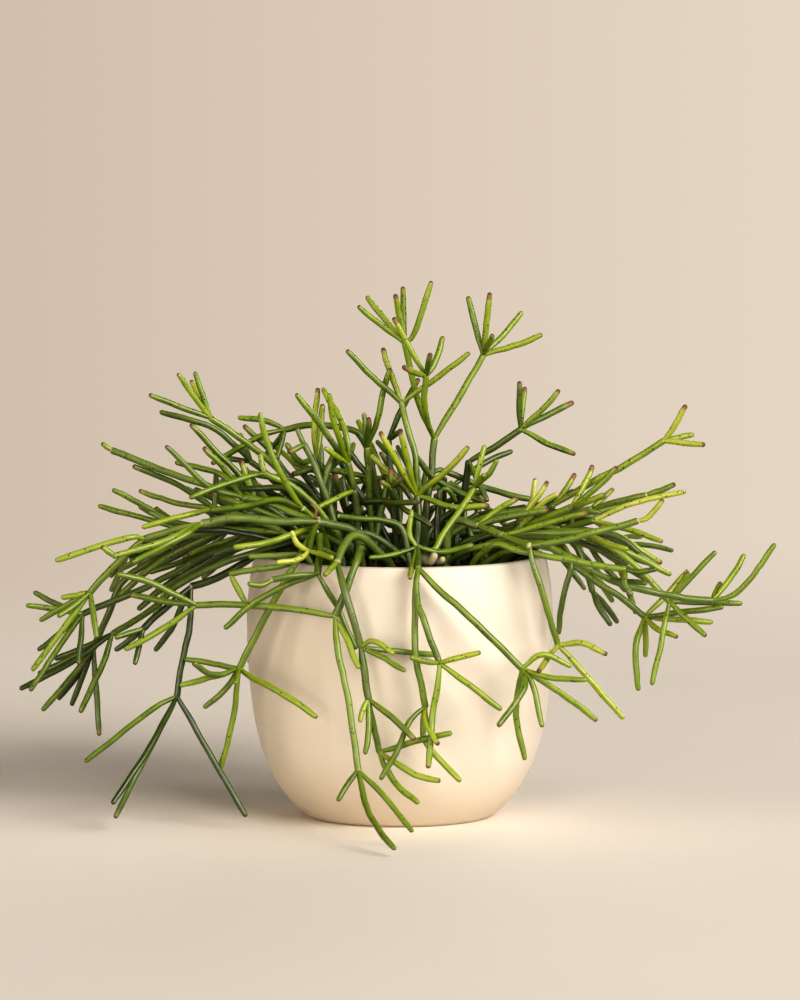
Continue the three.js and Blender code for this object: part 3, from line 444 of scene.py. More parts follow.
# Leafy stems: leafless green shoots, one out of the end of another, rooted in the mix. A shoot is a
# list of points [across, up, depth] in mm, as the eye sees them, then the shoots that fork from the
# last one. A stem starts at its root [across, depth], and a number is a whorl of end shoots.
STEMS = {
  "crown_tall": [[12, -5], [13.5, 158, -4], [15, 170, -2], [16.5, 180, 0], [18, 198, 2],
    [[11, 214, 0], [7, 228, -4], [2.5, 248, -8],
      [[-22, 268, -18]], [[-17.5, 273, 8]], [[-2.5, 274, -24]], [[1.5, 278, 6]],
      [[6, 251, -9], [10.5, 262, -12], [16.5, 281, -14]]],
    [[15, 205, -4], [13, 215, -14], [13.5, 231, -22],
      [[-3.5, 262, -26]], [[1.5, 236, -40]], [[16, 243, -34]], [[18, 238, -18], [22.5, 252, -12]]],
    [[43.5, 242, 12],
      [[35.5, 273, 20]], [[47, 275, 6]], [[48.5, 253, 0]], [[64, 265, 22]], [[74.5, 253, 10]]]],
  "crown_front": [[7, -20], [9.5, 150, -16], [9, 168, -12],
    [[9, 175, -12], [8, 190, -11], [5, 200, -9], [1, 217, -6],
      [[-28, 245, -10]], [[-9, 246, 2]], [[36.5, 243.5, -22]]],
    [[25, 182, -24], [36, 194, -32]], [[-10.5, 202, -26]], [[-16, 190, -2]], [[0, 202, -26]]],
  "crown_behind": [[-2, 16], [-4, 170, 14], [-6, 198, 14],
    [[-1, 210, 14], [10, 230, 16]], [[1, 203, 8]]],
  "crown_left": [[-14, 6], [-16, 160, 4], [-16.5, 178, 2], [-17, 193, 0],
    [[-12, 208, -4], [-9, 222, -6], [-5, 235, -8]], [[-19, 212, 2]], [[-16.5, 209.5, -8]]],
  "crown_fork": [[-22, -8], [-22.5, 160, -9], [-24, 171, -10],
    [[-27, 185, -12],
      [[-38, 200, -14], [-45, 210, -16], [-54.5, 222, -18]], [[-34, 205, -24], [-37, 222, -30]],
      [[-27, 195, -14], [-32, 210, -8], [-37, 218, -4], [-40.5, 225, -1]], [[-39.5, 193.5, -22]]],
    [[-34, 166.5, -18], [-46, 160.5, -26]]],
  "crown_slim": [[-34, 12], [-38, 160, 10], [-44, 188, 6],
    [[-45, 200, 4], [-43, 225, 2]], [[-42, 200, 10], [-40.5, 216.5, 12]]],
  "crown_old": [[-30, -16], [-36, 160, -14], [-40, 172, -14], [-45, 185, -13], [-50, 195, -12],
    [[-54, 204, -11]], [[-59, 191, -18]]],
  "crown_arch": [[-12, 30], [-14, 180, 28], [-21, 200, 26], [-30, 204, 26], [-45, 205.5, 25],
    [-60, 203, 24],
    [[-66, 206, 24], [-73, 208, 24], [-85, 209, 24]],
    [[-70, 201, 20], [-80, 196, 18], [-90, 190, 16], [-99, 185, 14]], [[-73, 187, 32]], [[-65, 187, 18]]],
  "crown_cut": [[5, -30], [1, 151, -28], [-10, 155.5, -29], [-20, 156, -31], [-33, 157.5, -32]],
  "crown_bent": [[-30, 2], [-28, 158, 0], [-20, 165, -6], [-10, 165.5, -12], [-2, 165, -17],
    [[4, 160, -22], [10, 156.5, -25], [17, 152, -28]],
    [[-4.5, 172.5, -20], [[-11, 176, -24]], [[-5, 183, -22]], [[1, 178, -26]]]],
  "crown_stub": [[20, -14], [19.5, 155, -13], [21, 171, -12], [[24.5, 172, -12], [29.5, 165, -7]]],

  "front_fountain": [[14, -46], [12, 138.5, -54], [9, 136, -62],
    [[17, 139, -59], [22, 147, -54], [33, 163, -43], [39, 172.5, -36],
      [[42, 185, -36], [44.5, 195, -34]], [[47, 180, -40], [51, 187.5, -43]], [[44.5, 179.5, -46]]],
    [[5, 148, -60], [6.2, 161, -54]],
    [[-4, 137, -66], [-16.5, 135.6, -70]],
    [[22, 138.5, -60], [39, 142.4, -58]],
    [[5.3, 122, -92]],
    [[9.6, 124.8, -84],
      [[9, 114, -92], [12.5, 103, -97], [16, 92, -98], [20.7, 80, -98],
        [[5.3, 83, -108]], [[28, 82, -102], [42.5, 85.6, -104]], [[37, 68, -101], [53.5, 55, -102]],
        [[20, 70, -99], [17.5, 55, -99], [16.5, 40, -101], [14.7, 24, -104]]],
      [[8, 112, -88], [7.8, 95, -92], [9, 78, -94], [13.4, 57, -93],
        [[12, 48, -92], [13.5, 38, -93], [32, 17, -100]],
        [[14, 48, -98], [20.4, 36.5, -106]],
        [[5, 49, -97], [0, 37, -100], [-5, 27, -102], [-10.5, 18, -103]]],
      [[20, 119, -88], [40, 101, -92], [64, 78.6, -90],
        [[75, 80.5, -88], [90, 77.3, -86]], [[80, 74.5, -96], [98.4, 71, -102]],
        [[84, 64.5, -78], [103.7, 49.3, -70]], [[70, 68, -92], [75, 45.8, -96]],
        [[62.5, 68, -86], [61, 52, -84], [65.8, 28.4, -84]], [[65.5, 67, -100], [51.5, 46.2, -112]]]]],
  "front_arch": [[-4, -50], [-12, 138, -56], [-20, 144.5, -62], [-25, 147, -67], [-30, 141, -75],
    [-33, 133.5, -81],
    [[-40, 126, -92]],
    [[-29, 118, -91], [-26, 108, -93], [-23, 97, -93], [-20.5, 88.5, -92],
      [[-14, 91.5, -97], [-3, 84.5, -102]], [[-8, 86.8, -87], [8, 85.2, -84.5], [20, 84.2, -84]],
      [[-8, 82.5, -97], [3, 75.5, -102]],
      [[-16.5, 61, -93],
        [[-19.5, 55, -96], [-21, 48.4, -98]], [[-16.5, 45, -97], [-18.5, 31.4, -100]],
        [[-4, 51, -99], [8, 39, -105]],
        [[-14, 47, -91], [-11, 33, -90],
          [[8, 38.5, -96], [27.4, 43, -100]], [[-3, 27.5, -96], [8, 20.5, -100], [21.4, 17.4, -103]],
          [[-6, 22, -93], [0, 13.5, -97], [10, 5.3, -102]]]]]],
  "front_pale": [[-14, -40], [-14, 139, -50], [-19, 142, -61], [-22.5, 134, -80], [-28, 119, -85],
    [-34, 105, -86],
    [[-50, 107.5, -84], [-70, 110, -78], [-90, 111, -70], [-106.5, 110.5, -62],
      [[-130, 122, -66], [-149, 127, -70]], [[-142, 116, -50]],
      [[-120, 101, -60], [-135, 92, -64], [-145, 87, -66]]],
    [[-33, 90, -92], [-30, 75, -96], [-27, 60, -98], [-22, 23.4, -102],
      [[-28, 15, -108], [-33, 6.6, -112]], [[-10, 11, -112], [6.7, -9.7, -130]],
      [[-18.5, 6, -118], [-12, -7, -138], [-2.6, -19, -154]]],
    [[-28, 93, -91], [-21.5, 77, -99]]],
  "front_dark": [[-38, -36], [-42, 147, -50], [-44, 139, -66], [-43.5, 127.5, -80],
    [[-56, 126, -86], [-67, 124, -88], [[-73, 121, -90], [-80, 122, -92]]],
    [[-60, 121, -80], [-76, 112, -78], [-92.5, 98, -78]],
    [[-38, 118, -80], [-33, 110, -79], [-28, 98, -81], [-23, 87, -83]]],
  "front_left": [[-20, -30], [-24, 149, -36], [-33, 152.5, -41], [-42.5, 154.5, -46],
    [[-47, 146, -54], [-53, 136, -66], [-65, 115, -68], [-84.5, 77, -62],
      [[-95, 79, -56], [-113.5, 82, -52]], [[-100, 72.5, -66], [-116, 68, -68]],
      [[-99, 74, -72], [-109, 80, -80]], [[-86.5, 69, -82]], [[-92, 66, -64], [-103.3, 56, -62]],
      [[-88, 50, -56], [-95.5, 21.4, -52]], [[-64, 65, -84], [-43.5, 51, -92]]],
    [[-46, 147, -56], [-46.5, 138.5, -66],
      [[-54, 143, -71], [-57, 150, -72]], [[-54, 134.5, -74], [-65, 133, -78]],
      [[-40, 136.5, -74], [-35.5, 135.5, -86]]],
    [[-60, 154.5, -48], [-80, 156.3, -49], [-91, 156.3, -50], [-104, 153.5, -52],
      [[-118, 150.5, -54], [-134, 145.5, -55],
        [[-143, 138, -54], [-153, 128, -52], [-162.5, 117.5, -50],
          [[-178, 114.4, -44]], [[-180, 104.5, -60]], [[-193.7, 75.8, -58]], [[-189.3, 102.3, -36]],
          [[-159.5, 93, -62]]],
        [[-140, 146.5, -60], [-160, 141, -64], [-181, 134, -68]]],
      [[-118, 144, -44], [-146.5, 129.5, -34]], [[-112, 148, -64], [-141, 133, -74]],
      [[-125, 144, -70], [-150, 136.5, -80], [[-157, 141.5, -82]]]],
    [[-55, 159, -40], [-68, 164, -36], [-82, 167, -34],
      [[-97, 172, -32], [-120, 180, -30], [-135, 185, -29], [-151, 192, -28], [[-156.5, 196, -28]]],
      [[-101, 173.5, -42], [-113.6, 185.6, -46], [-123, 194.5, -48]],
      [[-94, 179.5, -24], [-107, 183.5, -20], [-118, 186, -18]]]],

  "left_low": [[-42, -20], [-52, 144, -25], [-60, 142, -29], [-72, 139, -34], [-84, 131.5, -37],
    [-97, 124.5, -40],
    [-109.5, 120.5, -42],
    [[-110, 105, -45], [-113, 88, -48], [-117.3, 62.5, -50],
      [[-128, 57, -54], [-166, 27.5, -62]], [[-135, 30, -76], [-151.8, 5, -92]],
      [[-134, 30, -60], [-150.3, -2.5, -68]], [[-100, 32, -54], [-81, -1.7, -60]]],
    [[-122, 110, -50], [-134.7, 98.2, -54], [[-150, 93, -60]], [[-150, 86.5, -48]], [[-139.6, 79, -64]]],
    [[-120, 98, -34], [-129, 86.3, -28]]],
  "left_pale": [[-30, -40], [-44, 141, -52], [-50, 137.5, -58], [-60, 132, -64], [-75, 129.5, -62],
    [-89, 127, -56],
    [[-80.5, 111, -62]]],
  "left_long": [[-50, 0], [-66, 150, 0], [-90, 142, 0], [-110.5, 132.5, -4],
    [[-133, 120, -8], [-150, 113, -12], [-166.4, 106, -16],
      [[-192.5, 117.5, -8]], [[-196.5, 110.5, -24]], [[-183, 83, -22], [-194.7, 65, -28]],
      [[-182, 93, -12], [-190.5, 86.7, -6]], [[-169, 79, -28]]]],
  "left_shiny": [[-47, 14], [-62, 148, 15], [-85, 140, 16], [-110.5, 127, 14],
    [[-127, 111, 12], [-140, 102, 10], [-151, 95.5, 8],
      [[-200.2, 66, -4]], [[-190.5, 74, 10]], [[-181.6, 82, 24]], [[-156, 80, 4], [-168.4, 53.5, -2]]]],
  "left_dark": [[-38, 26], [-64, 153, 28], [-98, 149, 31], [-120, 140, 31],
    [[-145, 123.6, 29], [-154, 104, 27], [-161, 88, 25],
      [[-158.4, 41.3, 22]], [[-188.4, 54.6, 16]], [[-173, 57.3, 30]], [[-180, 60.5, 38]]]],
  "left_high": [[-32, 18], [-40, 158, 16], [-48, 168, 14],
    [[-60, 178, 12], [-70, 188, 9], [-80, 196, 6], [-99, 209, 3],
      [[-116.5, 232.5, -6]], [[-109.5, 229, 14]], [[-107.5, 233.5, 2]], [[-131.5, 221.5, -4]]],
    [[-60, 181, 20], [-68, 192, 22], [-82, 206, 24]]],
  "left_back": [[-26, 38], [-50, 160, 36], [-66, 177, 35], [-78, 186, 34],
    [[-87, 195, 32], [-100, 205, 30], [-126, 212.5, 28]], [[-99, 190, 44]], [[-84, 201, 46]]],
  "left_mid": [[-42, -4], [-56, 152, -6], [-66, 160, -9], [-76, 167, -12],
    [[-85, 180, -14], [-95, 190, -15], [-103, 199, -16], [-110, 206, -17]],
    [[-84, 171, -18], [-92, 182, -22], [-97, 188, -24], [-103, 194, -25]], [[-80.5, 178, -4],
     [-83, 187, -2]]],
  "left_flat": [[-46, -30], [-60, 150, -24], [-80, 157, -22], [-97, 161.5, -22],
    [[-118, 175, -25], [-140, 184.5, -28]], [[-112, 163.5, -14], [-125, 167, -11], [-137, 171, -8]],
    [[-112, 158, -32], [-135.5, 151.5, -38]], [[-96.5, 180, -16]]],
  "left_reach": [[-52, 8], [-70, 152, 7], [-95, 149, 7], [-112, 150, 6],
    [[-123, 157, 3], [-140, 166, 0], [-151, 171.5, -2]], [[-140, 158, 12], [-158.5, 163, 16]],
    [[-122, 155, 16], [-137, 163, 24]], [[-128.5, 162, -8]]],
  "left_bright": [[-26, -22], [-42, 160, -28], [-56, 173, -33], [-71, 180, -37],
    [[-90, 175, -44], [-110.5, 167, -52]], [[-74, 191, -34]]],
  "left_young": [[-36, -28], [-42, 152, -34], [-51, 161, -40],
    [[-59, 173, -45], [-65, 185, -48], [-70, 198, -49], [-73.5, 212, -50]]],

  "right_crown": [[30, 2], [30, 160, 3], [34, 172, 2], [36, 186, 0],
    [[50, 194, -4], [63, 203, -8],
      [[62.5, 228.5, -14]], [[65.5, 225.5, 4]], [[83.5, 224, -16]], [[91, 217.5, 0]], [[92, 190, -14]]],
    [[41, 176, -8], [46, 165, -13]]],
  "right_high": [[50, 10], [60, 150, 6], [70, 156, 3], [80, 163, 0],
    [[95, 172, -2], [105, 178, -4], [115, 182.5, -5], [138, 197, -8],
      [[150, 216, -14]], [[154, 200.5, 2]], [[160, 195, -18]]],
    [[92, 180, 10]]],
  "right_pair": [[44, -8], [60, 148, -12], [75, 156, -15], [90, 162.5, -18],
    [[100, 170, -20], [108, 177, -22], [114, 183.5, -24]], [[97, 175, -13], [101, 184.5, -9]],
    [[98, 165, -26], [107.5, 169, -32]]],
  "right_near": [[46, -28], [56, 145, -31], [63, 152, -33],
    [[68, 162, -35], [74, 170, -37], [77.5, 176, -38]], [[69.5, 166, -27], [71, 177.5, -25]],
    [[76, 165.5, -42], [83, 169.5, -46]]],
  "right_chain": [[24, -32], [28, 154.5, -35], [40.5, 152.5, -39],
    [[47, 150, -45], [53.5, 147.5, -51],
      [[75, 153, -58], [90, 157.5, -63], [99, 160, -66]],
      [[61, 144, -58], [68, 141, -65],
        [[85, 144.5, -67], [97, 148, -68], [110, 151, -66], [124.5, 155, -64],
          [[129, 156, -64], [134, 161, -64], [138, 166.5, -63]]],
        [[70, 132, -68], [74, 120, -69], [79, 103, -66], [83, 90.6, -62],
          [[96, 90.5, -66], [109, 84.4, -70]], [[100, 71, -60], [117.8, 50.3, -58]],
          [[72.4, 75, -100]]]]],
    [[50, 160, -36], [62, 167, -34]]],
  "right_inner": [[60, -12], [84, 137.5, -34], [89.7, 131.5, -42], [87, 120, -43], [84, 105, -42],
    [83.3, 95, -41]],
  "right_ring": [[52, 22], [70, 152, 19], [85, 157, 16], [100, 161, 14],
    [[120, 166.5, 12], [129, 168.5, 11], [[144.5, 174.5, 9]]], [[112, 172, 24]]],
  "right_wide": [[54, 2], [75, 147, -4], [90, 152, -8], [101, 155, -12],
    [[115, 161.5, -15], [130, 166.5, -18], [150, 170.5, -22]], [[120, 150.5, -20], [138, 144, -28]],
    [[115, 147, -4], [137.5, 132.5, 4]]],
  "right_long": [[54, -20], [75, 148, -27], [97, 149, -32],
    [[106, 144, -33], [118, 136, -35], [130, 125, -36], [141.5, 112.5, -37],
      [[150, 122, -34], [166, 139, -30]], [[151.5, 128, -48]], [[150, 104, -40], [161, 94, -46]],
      [[139, 100, -42], [132.5, 68.2, -48]], [[152, 111, -32], [180, 111, -28]]],
    [[118, 139, -24], [142.5, 126.5, -18]], [[108, 143, -42], [120, 140, -48]]],
  "right_swept": [[46, -42], [72, 143, -52], [88, 136, -54], [100, 129.5, -54],
    [[110, 124, -54], [120, 120.5, -54], [137, 116.5, -53], [150, 114, -52], [164, 113, -50],
      [[175, 127, -44], [181, 137.5, -40]], [[173, 115, -53], [180, 120, -55], [188, 130, -57],
       [197, 143, -58]],
      [[168.5, 122.5, -38]]]],
  "right_drop": [[57, -4], [74, 143, -9], [90, 132, -15], [100, 125, -17], [115, 115.5, -19],
    [128.5, 104.5, -21],
    [[145, 103, -18], [164.5, 101.5, -14]], [[150, 108, -29], [170, 110.5, -34]],
    [[135, 98, -30], [146, 93.5, -38]], [[139, 115, -12], [151.5, 129, -4]],
    [[124.5, 92, -28], [124, 80, -30], [125.5, 65.2, -31]], [[129, 83, -14]]],
  "right_level": [[38, -46], [50, 142.5, -55], [62, 140.5, -62], [80, 136, -66], [104, 131.5, -66],
    [118, 129.5, -66],
    [[126, 128, -70], [135, 129.5, -73]], [[118, 122, -70], [122, 115.5, -73]]],
  "right_fork": [[58, 14], [80, 148, 6], [91, 143, 0], [96, 133, -2], [101, 118, -3],
    [[105, 109, -6], [111, 99.5, -8]], [[108, 110, 2], [114.5, 101, 6]]],
  "right_thick": [[34, 30], [60, 152, 38], [84, 150, 42], [97, 144.5, 42],
    [[104, 135, 40], [119, 117.5, 38]], [[120, 146, 52]], [[112, 152, 34]]],

  "back_low": [[0, 46], [0, 152, 70], [2, 148, 92],
    [[-6, 128, 112], [-12, 100, 122], 3], [[20, 140, 124], 4], [[-22, 146, 126], 3]],
  "back_left": [[-20, 52], [-34, 154, 76], [-48, 152, 100],
    [[-58, 136, 122], [-56, 112, 134], 3], [[-70, 150, 124], 3]],
  "back_right": [[20, 52], [34, 153, 76], [48, 152, 102],
    [[56, 134, 124], [52, 108, 134], 3], [[72, 148, 122], 3]],
  "back_far_left": [[-42, 40], [-66, 156, 58], [-88, 152, 78],
    [[-110, 140, 96], 3], [[-94, 156, 108], 3]],
  "back_far_right": [[40, 42], [64, 154, 62], [88, 150, 80],
    [[110, 142, 94], 3], [[92, 154, 110], 3]],
  "back_crown": [[8, 34], [9, 162, 46], [10, 172, 60],
    [[-8, 178, 84], 3], [[28, 174, 86], 3]],
  "back_high": [[-16, 42], [-22, 164, 60], [-30, 176, 76],
    [[-46, 174, 100], 3], [[-16, 166, 108], 3]],
}
STEM_RADII = (1.55, 1.7, 1.85, 2.0, 2.1)
COLLAR_HEIGHT = 135.5
STEM_GAP = 0.6
ROOT_GAP = 6.8
ROOT_REACH = 58.0
POT_INSIDE = 70.0
POT_REACH = 80.4
POT_TOP = 138.5
SOIL_LEVEL = 132.0
WHORL_SPREAD = 0.85
WHORL_TWIST = 0.5
WHORL_LENGTH = 30
WHORL_VARY = 18
WHORL_DROOP = 4
ROUNDS = 80
NEIGHBOUR = 12
SPAN_CHECKS = 4
CROSSING = 0.05
PARALLEL = 0.001
DRAW_FACTOR = 16807
DRAW_PRIME = 2147483647
draw = 4171


def next_draw():
    global draw
    draw = draw * DRAW_FACTOR % DRAW_PRIME
    return draw / DRAW_PRIME


class Knot:
    """A point of a stem. One that forks belongs to every shoot there."""

    def __init__(self, x, y, z, root=False):
        self.x = x
        self.y = y
        self.z = z
        self.root = root
        self.held = False

    def place(self):
        return Vector((self.x, self.y, self.z))

    def push(self, x, y, z):
        if self.held:
            return
        self.x += x
        self.y += y
        if not self.root:
            self.z += z


class Shoot:
    """A length of stem from its base to its forks, or to its tip where it has none."""

    def __init__(self, chain, forks):
        self.chain = chain
        self.forks = forks
        self.rank = 1 + max(fork.rank for fork in forks) if forks else 0
        self.radius = STEM_RADII[min(self.rank, len(STEM_RADII) - 1)]
        self.is_filler = False
        self.dry = None


def placed(across, up, depth):
    t = (-EYE.y / MM + depth) / (-EYE.y / MM)
    height = EYE.z / MM
    return Knot(across * t, depth, height + (up - height) * t)


def whorl(count, a, b):
    """End shoots that stand round the end of a shoot like the ribs of a half-closed umbrella."""
    along = (b.x - a.x, b.y - a.y, b.z - a.z)
    length = math.hypot(*along)
    along = [value / length for value in along]
    level = math.hypot(along[0], along[1])
    side = (along[1] / level, -along[0] / level, 0)
    over = (side[1] * along[2], -side[0] * along[2], side[0] * along[1] - side[1] * along[0])
    start = next_draw() * math.tau
    shoots = []
    for i in range(count):
        angle = start + i * math.tau / count + next_draw() * WHORL_TWIST
        size = WHORL_LENGTH + WHORL_VARY * next_draw()
        out = [along[n] + WHORL_SPREAD * (side[n] * math.cos(angle) + over[n] * math.sin(angle))
               for n in range(3)]
        x, y, z = [value * size / math.hypot(*out) for value in out]
        half = Knot(b.x + x / 2, b.y + y / 2, b.z + z / 2)
        end = Knot(b.x + x, b.y + y, b.z + z - WHORL_DROOP)
        shoots.append(Shoot([b, half, end], []))
    return shoots


def grow(items, start):
    chain = [start] if start else []
    for item in items:
        if isinstance(item, int) or isinstance(item[0], list):
            continue
        chain.append(placed(*item) if len(item) == 3 else Knot(*item, COLLAR_HEIGHT, True))
    forks = []
    for item in items:
        if isinstance(item, int):
            forks += whorl(item, chain[-2], chain[-1])
        elif isinstance(item[0], list):
            forks.append(grow(item, chain[-1]))
    return Shoot(chain, forks)


def with_forks(shoot):
    """The shoot and everything beyond it, the furthest first."""
    return [one for fork in shoot.forks for one in with_forks(fork)] + [shoot]


stems = {name: grow(items, None) for name, items in STEMS.items()}
spans = []
for number, stem in enumerate(stems.values()):
    for shoot in with_forks(stem):
        spans += [(a, b, shoot.radius, number) for a, b in zip(shoot.chain, shoot.chain[1:])]


def nearest(a, b, c, d):
    """How far along two spans their nearest points lie, and the gap from the first to the second."""
    ux, uy, uz = b.x - a.x, b.y - a.y, b.z - a.z
    vx, vy, vz = d.x - c.x, d.y - c.y, d.z - c.z
    wx, wy, wz = a.x - c.x, a.y - c.y, a.z - c.z
    uu = ux * ux + uy * uy + uz * uz
    vv = vx * vx + vy * vy + vz * vz
    uv = ux * vx + uy * vy + uz * vz
    uw = ux * wx + uy * wy + uz * wz
    vw = vx * wx + vy * wy + vz * wz
    turn = uu * vv - uv * uv
    s = min(max((uv * vw - vv * uw) / turn, 0), 1) if turn > PARALLEL * uu * vv else 0.5
    t = min(max((uv * s + vw) / vv, 0), 1)
    s = min(max((uv * t - uw) / uu, 0), 1)
    x, y, z = vx * t - wx - ux * s, vy * t - wy - uy * s, vz * t - wz - uz * s
    return s, t, x, y, z, math.sqrt(x * x + y * y + z * z)


def part(p, q):
    """Moves two spans of different stems apart, as far as they are too close."""
    s, t, x, y, z, distance = nearest(p[0], p[1], q[0], q[1])
    missing = p[2] + q[2] + STEM_GAP - distance
    if missing <= 0:
        return
    step = missing / 2
    if distance < CROSSING:
        x, y, z = 0, step, 0
    else:
        x, y, z = x / distance * step, y / distance * step, z / distance * step
    p[0].push(-x * (1 - s), -y * (1 - s), -z * (1 - s))
    p[1].push(-x * s, -y * s, -z * s)
    q[0].push(x * (1 - t), y * (1 - t), z * (1 - t))
    q[1].push(x * t, y * t, z * t)


def between(a, b, f):
    return a.x + (b.x - a.x) * f, a.y + (b.y - a.y) * f, a.z + (b.z - a.z) * f


def clear_pot(a, b, radius):
    """Keeps a span off the planter's wall and rim, off the mix and off the ground."""
    room = radius + STEM_GAP
    for i in range(SPAN_CHECKS + 1):
        f = i / SPAN_CHECKS
        x, y, z = between(a, b, f)
        r = math.sqrt(x * x + y * y)
        lift = room - z
        out = 0
        if r <= POT_INSIDE:
            lift = SOIL_LEVEL + room - z
        elif r < POT_REACH + room and z < POT_TOP + room:
            if POT_TOP + room - z < POT_REACH + room - r:
                lift = POT_TOP + room - z
            else:
                out = (POT_REACH + room - r) / r
        lift = max(lift, 0)
        if not a.root:
            a.push(x * out * (1 - f), y * out * (1 - f), lift * (1 - f))
        b.push(x * out * f, y * out * f, lift * f)


def keep_roots(roots):
    for i, p in enumerate(roots):
        for q in roots[i + 1:]:
            x, y = q.x - p.x, q.y - p.y
            distance = math.sqrt(x * x + y * y)
            if distance < ROOT_GAP:
                step = (ROOT_GAP - distance) / 2 / distance
                p.push(-x * step, -y * step, 0)
                q.push(x * step, y * step, 0)
        r = math.sqrt(p.x * p.x + p.y * p.y)
        if r > ROOT_REACH:
            p.push(p.x * ROOT_REACH / r - p.x, p.y * ROOT_REACH / r - p.y, 0)


pairs = []
for i, p in enumerate(spans):
    for q in spans[i + 1:]:
        if p[3] != q[3] and nearest(p[0], p[1], q[0], q[1])[5] < NEIGHBOUR:
            pairs.append((p, q))
roots = [stem.chain[0] for stem in stems.values()]
for _ in range(ROUNDS):
    for p, q in pairs:
        part(p, q)
    for a, b, radius, _ in spans:
        clear_pot(a, b, radius)
    keep_roots(roots)


